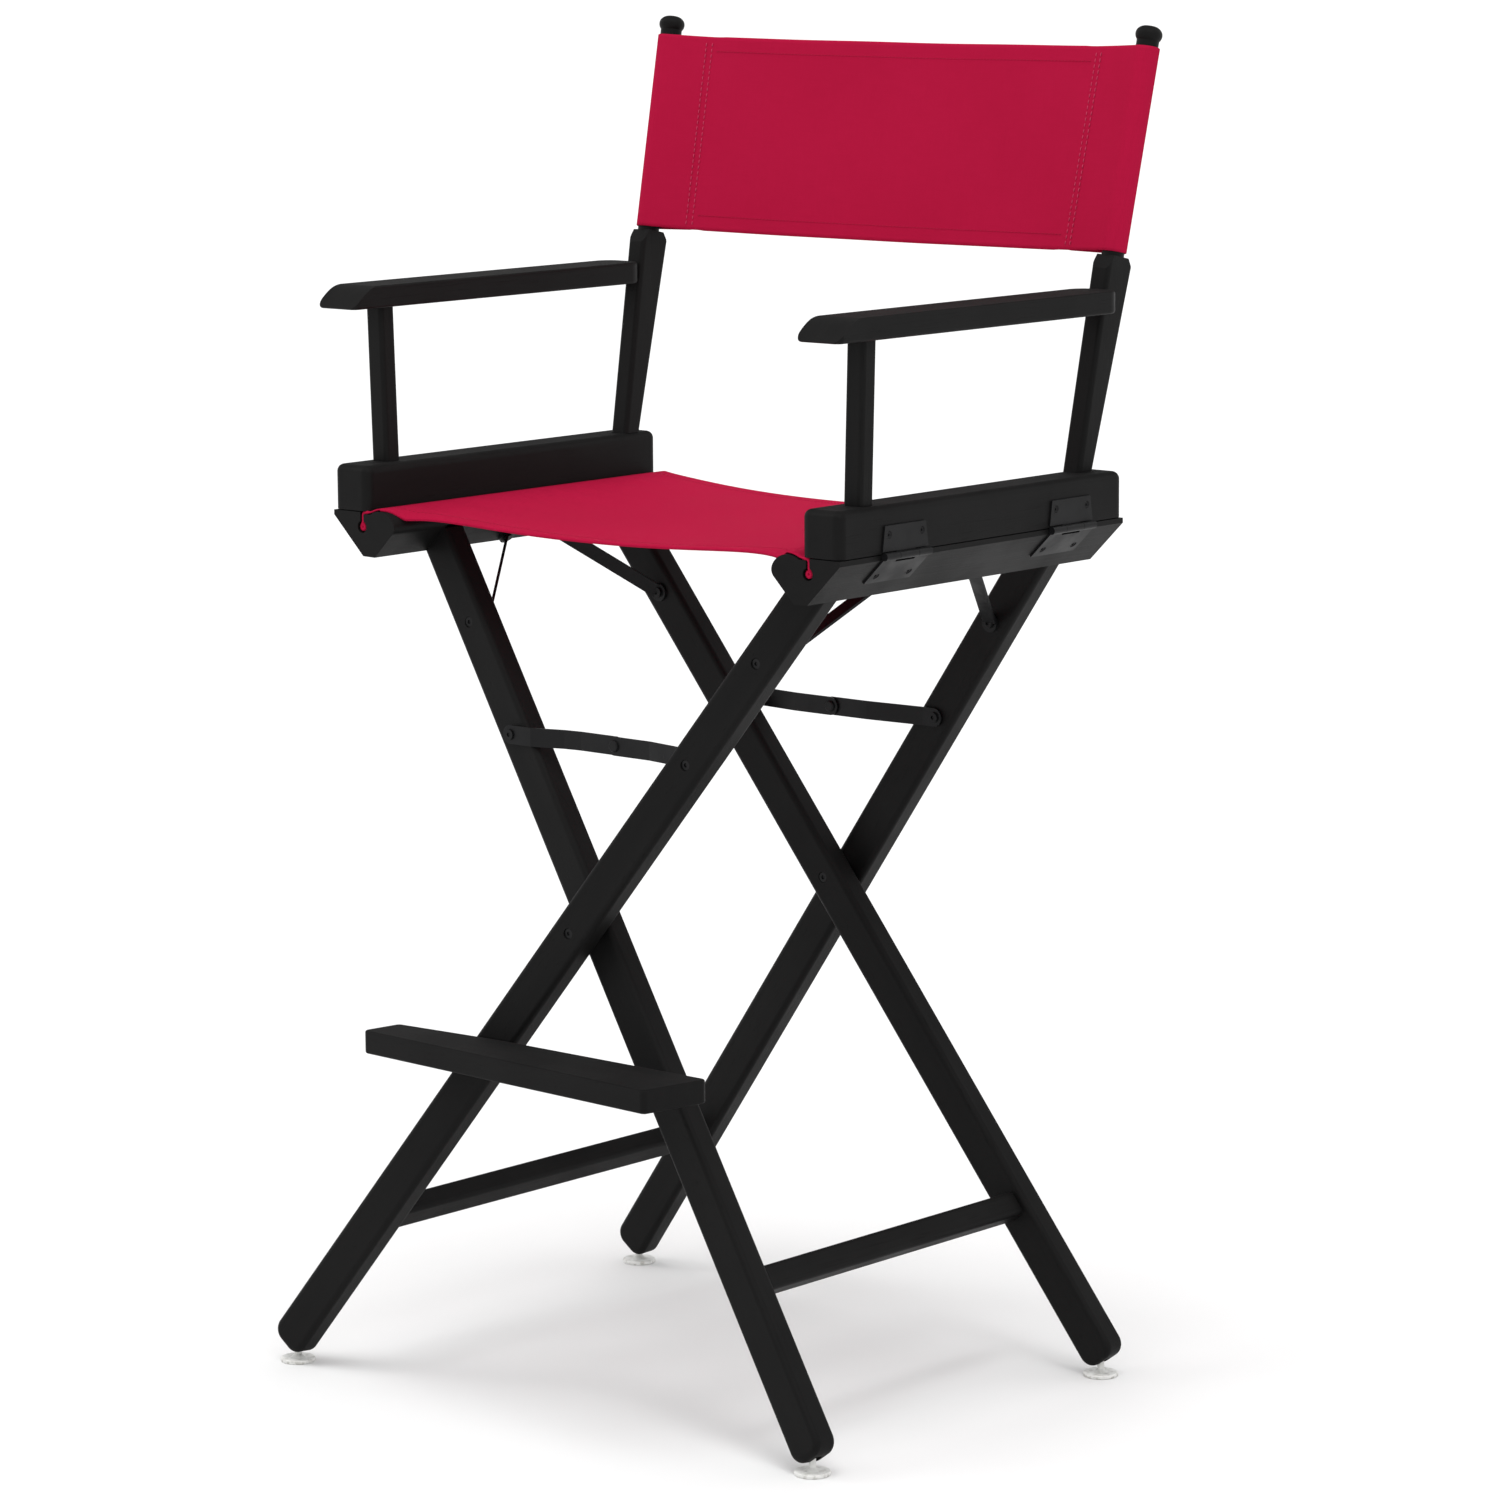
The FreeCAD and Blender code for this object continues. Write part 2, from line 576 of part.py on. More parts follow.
BRACES = {
    # leg, side of the leg, stations as (distance from the bolt, y from the leg's face)
    "front_right": (LEG_A, 1, ((-8, 2.45), (9, 2.45), (71, 12.65), (119, 12.65))),
    "front_left": (LEG_B, -1, ((-8, -4.2), (24, -4.2), (54, 5.4), (71, 7.7), (119, 7.7))),
    "rear_left": (LEG_C, 1, ((-8, 2.4), (24, 2.4), (71, -2.25), (119, -2.25))),
    "rear_right": (LEG_D, -1, ((-8, -2.2), (12, -2.2), (71, -7.1), (119, -7.1))),
}


def brace_link(name):
    """One half of a folding lock brace, with its half of the knuckle rivet.

    Its inner part lies in one plane, so that the two halves slide past each other as they fold.
    """
    leg, sign, stations = BRACES[name]
    middle = link_profile(leg, sign, stations)
    at = leg.at(BRACE_Z)
    t = BRACE_THICK / 2
    w = BRACE_WIDTH / 2
    inward = -leg.side
    fore = [(at.x + inward * s, y - t, BRACE_Z - w) for s, y in middle]
    aft = [(at.x + inward * s, y + t, BRACE_Z - w) for s, y in reversed(middle)]
    strip = prism(fore + aft, V(0, 0, BRACE_WIDTH))
    reach_y = 60
    ends = rod(V(at.x, at.y - reach_y, BRACE_Z), V(at.x, at.y + reach_y, BRACE_Z), w)
    far = rod(V(0, at.y - reach_y, BRACE_Z), V(0, at.y + reach_y, BRACE_Z), w)
    run = box(0, at.x, at.y - reach_y, at.y + reach_y, BRACE_Z - w, BRACE_Z + w)
    strip = strip.common(run.fuse([ends, far]))
    strip = strip.cut(along_y(at.x, BRACE_Z, at.y - reach_y, at.y + reach_y, BOLT_R + 0.05))
    knuckle_y = middle[-1][1]
    partner = brace_partner(name)
    outward = 1 if knuckle_y > partner else -1
    inner_face = knuckle_y - outward * (t + 0.0)
    rivet = along_y(0, BRACE_Z, inner_face, knuckle_y + outward * (t + 2.0), 2.6)
    cap = along_y(0, BRACE_Z, knuckle_y + outward * t, knuckle_y + outward * (t + 2.0), 5.0)
    cap = cap.makeFillet(1.4, [e for e in cap.Edges if isinstance(e.Curve, Part.Circle)
                               and abs(e.CenterOfMass.y - knuckle_y - outward * (t + 2.0)) < 0.01])
    strip = strip.cut(rivet)
    return group([strip, rivet.fuse(cap)])


def brace_partner(name):
    """y of the other link's end at the knuckle."""
    end, side = name.split("_")
    other = end + "_" + ("left" if side == "right" else "right")
    leg, sign, stations = BRACES[other]
    return link_profile(leg, sign, stations)[-1][1]


def brace_bolt(name):
    """Bolt that fixes a brace link to its leg, with a washer that keeps the link off the wood."""
    leg, sign, stations = BRACES[name]
    at = leg.at(BRACE_Z)
    link_y = link_profile(leg, sign, stations)[0][1]
    near = link_y - sign * (BRACE_THICK / 2 + 0.3)
    far = link_y + sign * (BRACE_THICK / 2 + 0.3)
    seat = leg.face_y(BRACE_Z, sign) - sign * 1.0
    other = leg.face_y(BRACE_Z, -sign) + sign * HEAD_SINK
    washer = along_y(at.x, BRACE_Z, seat, near, 6.0)
    shank = along_y(at.x, BRACE_Z, other, far, BOLT_R)
    head = along_y(at.x, BRACE_Z, other, other - sign * HEAD_THICK, HEAD_R)
    nut = along_y(at.x, BRACE_Z, far, far + sign * NUT_THICK, NUT_R)
    whole = shank.fuse([washer, head, nut])
    return whole.cut([drive_hole(at.x, BRACE_Z, other - sign * HEAD_THICK, -sign),
                      drive_hole(at.x, BRACE_Z, far + sign * NUT_THICK, sign)])


STRUTS = {
    # leg, face that it lies on, y where it meets the rail
    "front_right": (LEG_A, 1, -57.0),
    "front_left": (LEG_B, 1, -8.0),
    "rear_left": (LEG_C, -1, 52.0),
    "rear_right": (LEG_D, -1, 68.0),
}
STRUT_PAD = 11.0
RAIL_INSIDE_OUT = V(-10.0, 0, -9.9).normalize()     # outward direction of the rail's sloping inside
RAIL_INSIDE_MID = V(230.5, 0, 703.5)


def strut_ends(name):
    """Middle of the strut's two pads, on the leg's face and on the rail's sloping inside."""
    leg, sign, rail_y = STRUTS[name]
    c = leg.at(STRUT_Z)
    low = V(c.x, leg.face_y(STRUT_Z, sign) + sign * (STRUT_THICK / 2 + 0.1), STRUT_Z)
    inside = RAIL_INSIDE_MID + RAIL_INSIDE_OUT * (STRUT_THICK / 2)
    return low, V(leg.side * inside.x, rail_y, inside.z)


def strut(name):
    """Flat metal strip that braces a leg to its lower rail, bent flat at both ends."""
    leg, sign, rail_y = STRUTS[name]
    low, high = strut_ends(name)
    t = STRUT_THICK / 2
    pad_low = rod(low - leg.back * t, low + leg.back * t, STRUT_WIDTH / 2)
    out = V(leg.side * RAIL_INSIDE_OUT.x, 0, RAIL_INSIDE_OUT.z)
    pad_high = rod(high - out * t, high + out * t, STRUT_WIDTH / 2)
    way = high.sub(low)
    length = way.Length
    way.normalize()
    broad = STRUT_BROAD[leg.side]
    broad = V(broad.x, -sign * broad.y, broad.z)
    flat = broad - way * way.dot(broad)
    flat.normalize()
    thin = way.cross(flat)
    half = STRUT_NECK / 2
    bar = placed(box(-half, half, -t, t, 0.0, length + 1.0), low, flat, thin, way)
    whole = bar.fuse([pad_low, pad_high])
    whole = whole.cut([leg_bar(leg), lower_rail_plain(leg.side)])
    whole = whole.cut([strut_screw(name), strut_bolt(name)])
    return sorted(whole.Solids, key=lambda s: s.Volume)[-1]


def lower_rail_plain(side):
    """The rail's outline without its groove, used to trim what is fixed to it."""
    if side not in MADE:
        MADE[side] = sided(lower_rail_section().extrude(V(0, RAIL_Y1 - RAIL_Y0, 0)), side)
    return MADE[side]


def strut_screw_spot(name):
    """Place and direction of the screw through a strut's upper pad."""
    leg = STRUTS[name][0]
    high = strut_ends(name)[1]
    out = V(leg.side * RAIL_INSIDE_OUT.x, 0, RAIL_INSIDE_OUT.z)
    return high + out * (STRUT_THICK / 2), out


def strut_screw(name):
    """Pan-head wood screw through a strut's upper pad into the rail."""
    at, out = strut_screw_spot(name)
    return rod(at - out * 9.0, at, 1.7).fuse(rod(at, at + out * 1.8, 3.6))


def strut_bolt(name):
    """Bolt through a leg and the lower pad of its strut."""
    leg, sign, rail_y = STRUTS[name]
    c = leg.at(STRUT_Z)
    seat = leg.face_y(STRUT_Z, sign) + sign * (STRUT_THICK + 1.2)
    other = leg.face_y(STRUT_Z, -sign) + sign * HEAD_SINK
    shank = along_y(c.x, STRUT_Z, other, seat, BOLT_R)
    head = along_y(c.x, STRUT_Z, other, other - sign * HEAD_THICK, HEAD_R)
    nut = along_y(c.x, STRUT_Z, seat, seat + sign * NUT_THICK, NUT_R)
    return shank.fuse([head, nut]).cut([drive_hole(c.x, STRUT_Z, other - sign * HEAD_THICK, -sign),
                                        drive_hole(c.x, STRUT_Z, seat + sign * NUT_THICK, sign)])


# ---------------------------------------------------------------- footrest
FOOT_FRONT_Y = -265.9
FOOT_OUTLINE = ((-172.0, -209.0), (-98.0, -203.2), (-60.0, -200.8), (172.0, -200.8),
                (160.0, FOOT_FRONT_Y), (-178.0, -247.0))


def footrest():
    """The footrest board, broader at its free end, eased along all its edges."""
    bottom = FOOT_TOP_Z - FOOT_THICK
    board = prism([(x, y, bottom) for x, y in FOOT_OUTLINE], V(0, 0, FOOT_THICK))
    corners = edges_along(board, V(0, 0, 1))
    ends = [e for e in corners if abs(e.CenterOfMass.x) > 150]
    board = board.makeFillet(5.0, ends)
    rims = [e for e in board.Edges if abs(e.CenterOfMass.z - FOOT_TOP_Z) < 0.01 or
            abs(e.CenterOfMass.z - bottom) < 0.01]
    board = board.makeFillet(2.0, rims)
    return board.cut(footrest_shank(0.05))


def footrest_way():
    """Direction of the footrest's pivot: square to the front face of its leg."""
    return LEG_A.back * -1


def footrest_shank(play):
    """The shank of the footrest bolt, with room to turn in the board."""
    way = footrest_way()
    c = LEG_A.at(FOOT_PIVOT_Z)
    return rod(c - way * 12.0, c + way * 46.0, BOLT_R + play)


def footrest_bolt():
    """Bolt through the leg into the back edge of the footrest, its head behind the leg."""
    way = footrest_way()
    c = LEG_A.at(FOOT_PIVOT_Z)
    rear = c - way * (LEG_THICK / 2)
    shank = rod(rear, c + way * 44.0, BOLT_R)
    head = rod(rear, rear - way * 2.4, 6.5)
    return shank.fuse(head)


def footrest_peg():
    """Dowel in the front of the inner leg that the free end of the footrest rests on."""
    z = FOOT_TOP_Z - FOOT_THICK - PEG_R - 0.4
    c = LEG_B.at(z)
    x = c.x + PEG_SHIFT
    return along_y(x, z, LEG_B.face_y(z, -1) + 15.0, -228.0, PEG_R)


# ---------------------------------------------------------------- canvas
def seat_z(x):
    """Height of the middle of the seat cloth at a distance from the centre line."""
    edge_x, edge_z = SEAT_EDGE
    return SEAT_SAG_Z + (edge_z - SEAT_SAG_Z) * (abs(x) / edge_x) ** 2


def seat_half():
    """Right half of the seat cloth between the lip and the centre line."""
    t = CANVAS / 2
    xs = [0.4 + (SEAT_EDGE[0] - 0.4) * i / 6 for i in range(7)]
    top = [(x, SEAT_Y0, seat_z(x) + t) for x in xs]
    low = [(x, SEAT_Y0, seat_z(x) - t) for x in reversed(xs)]
    return prism(top + low, V(0, SEAT_Y1 - SEAT_Y0, 0))


def seat_hem():
    """The end of the seat cloth: over the lip, down the slot and round its stick."""
    t = CANVAS / 2
    upper = [(SEAT_EDGE[0] + 0.6, HEM_Y0, SEAT_EDGE[1] + t), (234.0, HEM_Y0, 740.1),
             (241.0, HEM_Y0, 737.1), (250.0 + t, HEM_Y0, 737.0), (250.0 + t, HEM_Y0, 727.0)]
    lower = [(250.0 - t, HEM_Y0, 727.0), (250.0 - t, HEM_Y0, 735.9), (241.0, HEM_Y0, 735.6),
             (233.5, HEM_Y0, 738.8), (SEAT_EDGE[0] + 0.6, HEM_Y0, SEAT_EDGE[1] - t)]
    sheet = prism(upper + lower, V(0, SEAT_Y1 - HEM_Y0, 0))
    roll = along_y(GROOVE_X, GROOVE_Z, HEM_Y0, SEAT_Y1, 4.7)
    return sheet.fuse(roll).cut(along_y(GROOVE_X, GROOVE_Z, HEM_Y0 - 1, SEAT_Y1 + 1, 3.05))


def hem_stick():
    """Round stick that keys the seat cloth into the groove."""
    return along_y(GROOVE_X, GROOVE_Z, RAIL_Y0 + 9, RAIL_Y1 - 3, 3.0)


def dowel_point(z):
    """Middle of the right canvas dowel at height z, with the post's lean."""
    foot, tip = dowel_axis()
    share = (z - foot.z) / (tip.z - foot.z)
    y = foot.y + (tip.y - foot.y) * share
    return V(BACK_POST_AT[0] + math.tan(math.radians(POST_LEAN)) * (z - UPPER_TOP_Z), y, z)


def back_sleeve():
    """Sleeve of the back cloth round its dowel."""
    low, high = dowel_point(BACK_Z0 + 1.5), dowel_point(BACK_Z1 - 1.5)
    return rod(low, high, DOWEL_R + 2.2).cut(rod(low - (high - low), high + (high - low), DOWEL_R + 0.3))


def back_half():
    """Right half of the back cloth, between its sleeve and the centre line."""
    low, high = dowel_point(BACK_Z0), dowel_point(BACK_Z1)
    t = 1.4
    start = 0.4
    gap = DOWEL_R + 3.2
    bow_top = BACK_BOW * (high.x - gap - start) / (low.x - gap - start)
    face = [(start, low.y + BACK_BOW - t, low.z), (low.x - gap, low.y - t, low.z),
            (high.x - gap, high.y - t, high.z), (start, high.y + bow_top - t, high.z)]
    return prism(face, V(0, 2 * t, 0))


# ---------------------------------------------------------------- write the nodes
def write_frames():
    """Legs, glides, stretchers, rails and their fastenings."""
    tenons = {side: stretcher_dowel(*PAIRS[side]) for side in (RIGHT, LEFT)}
    peg = footrest_peg()
    shank = footrest_shank(0.0)
    names = {RIGHT: ("outer_leg_front", "outer_leg_rear"), LEFT: ("inner_leg_front", "inner_leg_rear")}
    for side in (RIGHT, LEFT):
        for name, leg in zip(names[side], PAIRS[side]):
            save(name, leg_solid(leg).cut([tenons[side], peg, shank]))
        save({RIGHT: "outer_stretcher", LEFT: "inner_stretcher"}[side], stretcher(*PAIRS[side]))
    for side, word in ((RIGHT, "right"), (LEFT, "left")):
        rail = lower_rail(side)
        rail = rail.cut([sided(s, side) for s in screw_bores(LOWER_SCREWS)])
        spots = [strut_screw_spot(n) for n, s in STRUTS.items() if s[0].side == side]
        rail = rail.cut([rod(at - out * 9.0, at, 1.7) for at, out in spots])
        save(word + "_lower_rail", rail)
    save("glide_front_left", glide(LEG_A))
    save("glide_rear_left", glide(LEG_D))
    save("glide_front_right", glide(LEG_B))
    save("glide_rear_right", glide(LEG_C))


def write_fastenings():
    """Bolts, spacers, struts and folding braces."""
    save("pivot_bolt_front", pivot_bolt(LEG_A, LEG_B))
    save("pivot_bolt_rear", pivot_bolt(LEG_C, LEG_D))
    save("pivot_spacers", group([pivot_spacer(LEG_A, LEG_B), pivot_spacer(LEG_C, LEG_D)]))
    for name in STRUTS:
        save("strut_" + name, strut(name))
        save("brace_" + name, brace_link(name))
    for word, side in (("outer", "right"), ("inner", "left")):
        ends = ("front_" + side, "rear_" + side)
        save(word + "_strut_fasteners", group([strut_bolt(n) for n in ends] + [strut_screw(n) for n in ends]))
        save(word + "_brace_bolts", group([brace_bolt(n) for n in ends]))


def write_arms():
    """Hinges and everything above them, on both sides."""
    for side, word in ((RIGHT, "right"), (LEFT, "left")):
        save(word + "_hinge_lower_leaves", group([sided(hinge_lower_leaf(y), side) for y in HINGE_Y]))
        save(word + "_hinge_upper_leaves", group([sided(hinge_upper_leaf(y), side) for y in HINGE_Y]))
        save(word + "_hinge_pins", group([sided(hinge_pin(y), side) for y in HINGE_Y]))
        save(word + "_lower_screws", group([sided(screw(*s), side) for s in LOWER_SCREWS]))
        save(word + "_upper_screws", group([sided(screw(*s), side) for s in UPPER_SCREWS]))
        save(word + "_upper_rail", sided(upper_rail(), side))
        save(word + "_front_post", sided(front_post(), side))
        save(word + "_back_post", sided(back_post_right(), side))
        save(word + "_finial", sided(finial(), side))
        save(word + "_armrest", sided(armrest(), side))


def write_soft():
    """Canvas seat and back, in halves that fold, with their hems, sleeves and sticks."""
    for side, word in ((RIGHT, "right"), (LEFT, "left")):
        save("seat_" + word, sided(seat_half(), side))
        save("seat_hem_" + word, sided(seat_hem(), side))
        save("hem_stick_" + word, sided(hem_stick(), side))
        save("back_" + word, sided(back_half(), side))
        save("back_sleeve_" + word, sided(back_sleeve(), side))


def write_footrest():
    """The footrest, its bolt and its peg."""
    save("footrest", footrest())
    save("footrest_bolt", footrest_bolt())
    save("footrest_peg", footrest_peg())


os.makedirs("parts", exist_ok=True)
write_frames()
write_fastenings()
write_arms()
write_soft()
write_footrest()
print(len(SAVED), "nodes")
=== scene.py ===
import logging
import math
from dataclasses import dataclass
from enum import Enum
from typing import Any, Callable, Dict, Iterable, List, Optional, Sequence, Tuple

import bmesh
import bpy
from mathutils import Matrix, Vector, noise


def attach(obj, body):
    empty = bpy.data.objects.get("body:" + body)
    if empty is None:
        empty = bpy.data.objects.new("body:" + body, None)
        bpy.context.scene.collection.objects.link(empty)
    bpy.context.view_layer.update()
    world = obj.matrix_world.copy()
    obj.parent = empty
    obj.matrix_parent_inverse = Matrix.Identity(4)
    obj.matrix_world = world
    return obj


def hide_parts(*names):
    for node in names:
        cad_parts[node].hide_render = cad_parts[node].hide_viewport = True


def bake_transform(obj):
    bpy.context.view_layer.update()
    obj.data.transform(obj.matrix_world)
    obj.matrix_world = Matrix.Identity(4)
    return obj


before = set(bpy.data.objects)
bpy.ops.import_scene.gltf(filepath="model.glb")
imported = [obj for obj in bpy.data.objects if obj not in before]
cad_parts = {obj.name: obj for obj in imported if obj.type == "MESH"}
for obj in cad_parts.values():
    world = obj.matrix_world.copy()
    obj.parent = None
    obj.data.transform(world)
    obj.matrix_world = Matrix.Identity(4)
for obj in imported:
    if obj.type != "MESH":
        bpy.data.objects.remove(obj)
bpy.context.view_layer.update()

LOG = logging.getLogger("director_chair")

Colour = Tuple[float, float, float]
Point = Tuple[float, float, float]


class Side(Enum):
    """Which side of the chair, as a person who faces it from the front sees it."""

    RIGHT = 1
    LEFT = -1

    @property
    def word(self) -> str:
        """The side's word in node names."""
        return self.name.lower()


class Grain(Enum):
    """Which way the wood's fibres run, as the turn that lays them along the grain's own X."""

    ACROSS = (0.0, 0.0, 0.0)                         # along X
    FORE_AND_AFT = (0.0, 0.0, math.radians(-90))     # along Y
    UPRIGHT = (0.0, math.radians(90), 0.0)           # along Z
    LEG_TO_RIGHT = (0.0, math.radians(53.6), 0.0)    # rising to the right
    LEG_TO_LEFT = (0.0, math.radians(126.4), 0.0)    # rising to the left


# ------------------------------------------------------------------ node wiring
class Wiring:
    """Adds and joins the nodes of one material or node group."""

    def __init__(self, tree: bpy.types.NodeTree) -> None:
        """Start on an empty tree.

        Args:
            tree: the node tree to fill.
        """
        self.tree = tree
        tree.nodes.clear()

    def add(self, kind: str, inputs: Optional[Dict[Any, Any]] = None, **settings: Any) -> bpy.types.Node:
        """Add a node.

        Args:
            kind: the node type's name after "ShaderNode".
            inputs: values or output sockets for its inputs, by name or number.
            settings: the node's own properties.

        Returns:
            The new node.
        """
        name = kind if kind.startswith("Node") else "ShaderNode" + kind
        node = self.tree.nodes.new(name)
        for key, value in settings.items():
            setattr(node, key, value)
        for key, value in (inputs or {}).items():
            self.feed(node.inputs[key], value)
        return node

    def feed(self, socket: bpy.types.NodeSocket, value: Any) -> None:
        """Set an input, or link an output socket to it.

        Args:
            socket: the input.
            value: its value, or the output socket that drives it.
        """
        if isinstance(value, bpy.types.NodeSocket):
            self.tree.links.new(value, socket)
        else:
            socket.default_value = value

    def math(self, operation: str, a: Any, b: Any = 0.0, c: Any = 0.0,
             clamp: bool = False) -> bpy.types.NodeSocket:
        """Result of a Math node."""
        return self.add("Math", {0: a, 1: b, 2: c}, operation=operation, use_clamp=clamp).outputs[0]

    def ramp(self, value: Any, low: float, high: float, to_low: float = 0.0,
             to_high: float = 1.0) -> bpy.types.NodeSocket:
        """A value carried smoothly from one range to another and clamped."""
        node = self.add("MapRange", {0: value, 1: low, 2: high, 3: to_low, 4: to_high},
                        interpolation_type="SMOOTHSTEP")
        return node.outputs[0]

    def mix(self, share: Any, a: Any, b: Any, blend: str = "MIX") -> bpy.types.NodeSocket:
        """A colour mixed from two.

        Args:
            share: how much of the second colour is taken.
            a: the first colour.
            b: the second colour.
            blend: the way of mixing.

        Returns:
            The colour's socket.
        """
        node = self.add("Mix", data_type="RGBA", blend_type=blend)
        for socket, value in ((0, share), (6, a), (7, b)):
            if not isinstance(value, bpy.types.NodeSocket) and socket and len(value) == 3:
                value = (*value, 1.0)
            self.feed(node.inputs[socket], value)
        return node.outputs[2]

    def noise(self, vector: Any, scale: float, detail: float = 3.0,
              roughness: float = 0.5) -> bpy.types.NodeSocket:
        """Value of a Noise texture."""
        return self.add("TexNoise", {"Vector": vector, "Scale": scale, "Detail": detail,
                                     "Roughness": roughness}).outputs[0]


class Effect:
    """A shader node group with named inputs and outputs, built once and used by several finishes."""

    built: Dict[str, bpy.types.NodeTree] = {}

    @classmethod
    def open(cls, name: str, inputs: Sequence[Tuple[str, str, Any]], outputs: Sequence[Tuple[str, str]]
             ) -> Tuple[Wiring, Dict[str, bpy.types.NodeSocket], bpy.types.Node]:
        """Start a node group.

        Args:
            name: the group's name.
            inputs: (name, socket type, default) for each input.
            outputs: (name, socket type) for each output.

        Returns:
            The group's wiring, its input sockets by name and its output node.
        """
        tree = bpy.data.node_groups.new(name, "ShaderNodeTree")
        wiring = Wiring(tree)
        for label, kind, value in inputs:
            socket = tree.interface.new_socket(label, in_out="INPUT", socket_type=kind)
            if value is not None:
                socket.default_value = value
        for label, kind in outputs:
            tree.interface.new_socket(label, in_out="OUTPUT", socket_type=kind)
        source = wiring.add("NodeGroupInput")
        drain = wiring.add("NodeGroupOutput")
        cls.built[name] = tree
        return wiring, {s.name: s for s in source.outputs if s.name}, drain

    @classmethod
    def use(cls, name: str, wiring: Wiring, **values: Any) -> bpy.types.Node:
        """Place a group in a material.

        Args:
            name: the group's name.
            wiring: the material's wiring.
            values: its inputs, with _ for spaces in their names.

        Returns:
            The group node.
        """
        if name not in cls.built:
            MAKERS[name]()
        node = wiring.add("Group", node_tree=cls.built[name])
        for key, value in values.items():
            wiring.feed(node.inputs[key.replace("_", " ")], value)
        return node


FLOAT, VECTOR = "NodeSocketFloat", "NodeSocketVector"


def make_wood_grain() -> None:
    """Group: fibres, pores and slow tone of ring-porous wood, with the grain along X."""
    w, given, drain = Effect.open(
        "Wood grain", [("Vector", VECTOR, None), ("Fineness", FLOAT, 1.0)],
        [("Fibre", FLOAT), ("Pores", FLOAT), ("Tone", FLOAT)])
    scaled = w.add("VectorMath", {0: given["Vector"]}, operation="SCALE")
    w.feed(scaled.inputs["Scale"], given["Fineness"])
    drift = w.add("Mapping", {"Vector": scaled.outputs[0], "Scale": (1.2, 9.0, 9.0)})
    bend = w.noise(drift.outputs[0], 3.0, 2.0)
    long = w.add("Mapping", {"Vector": scaled.outputs[0], "Scale": (14.0, 520.0, 520.0)})
    fibre = w.noise(long.outputs[0], 1.0, 4.0, 0.62)
    streak = w.add("Mapping", {"Vector": scaled.outputs[0], "Scale": (26.0, 1300.0, 1300.0)})
    pores = w.ramp(w.noise(streak.outputs[0], 1.0, 1.0), 0.60, 0.72)
    rings = w.add("Mapping", {"Vector": scaled.outputs[0], "Scale": (2.0, 95.0, 60.0)})
    ring = w.noise(rings.outputs[0], 1.0, 2.0, 0.4)
    tone = w.math("MULTIPLY_ADD", bend, 0.5, w.math("MULTIPLY", ring, 0.5))
    density = w.ramp(ring, 0.35, 0.6)
    for label, value in (("Fibre", fibre), ("Pores", w.math("MULTIPLY", pores, density)), ("Tone", tone)):
        w.feed(drain.inputs[label], value)


def make_handling() -> None:
    """Group: fine dust that lies on upward faces, and broad patches rubbed by hands and cloths."""
    w, given, drain = Effect.open(
        "Handling", [("Vector", VECTOR, None), ("Dust", FLOAT, 0.2), ("Scale", FLOAT, 18.0)],
        [("Dust", FLOAT), ("Rubbed", FLOAT), ("Scratches", FLOAT), ("Upward", FLOAT)])
    up = w.add("SeparateXYZ", {0: w.add("NewGeometry").outputs["Normal"]}).outputs[2]
    cloud = w.add("TexNoise", {"Vector": given["Vector"], "Scale": given["Scale"], "Detail": 4.0}).outputs[0]
    speck = w.noise(given["Vector"], 900.0, 2.0)
    lying = w.math("MULTIPLY", w.ramp(up, 0.3, 0.95), w.ramp(cloud, 0.35, 0.7))
    dust = w.math("MULTIPLY", w.math("MULTIPLY", lying, given["Dust"]), w.ramp(speck, 0.35, 0.65, 0.5, 1.0))
    scratch = w.add("Mapping", {"Vector": given["Vector"], "Scale": (60.0, 900.0, 60.0),
                                "Rotation": (0.3, 0.5, 0.8)})
    lines = w.ramp(w.noise(scratch.outputs[0], 1.0, 1.0), 0.72, 0.78)
    few = w.ramp(w.noise(given["Vector"], 30.0, 2.0), 0.55, 0.7)
    w.feed(drain.inputs["Dust"], dust)
    w.feed(drain.inputs["Rubbed"], w.ramp(cloud, 0.3, 0.7))
    w.feed(drain.inputs["Upward"], w.ramp(up, 0.35, 0.9))
    w.feed(drain.inputs["Scratches"], w.math("MULTIPLY", lines, few))


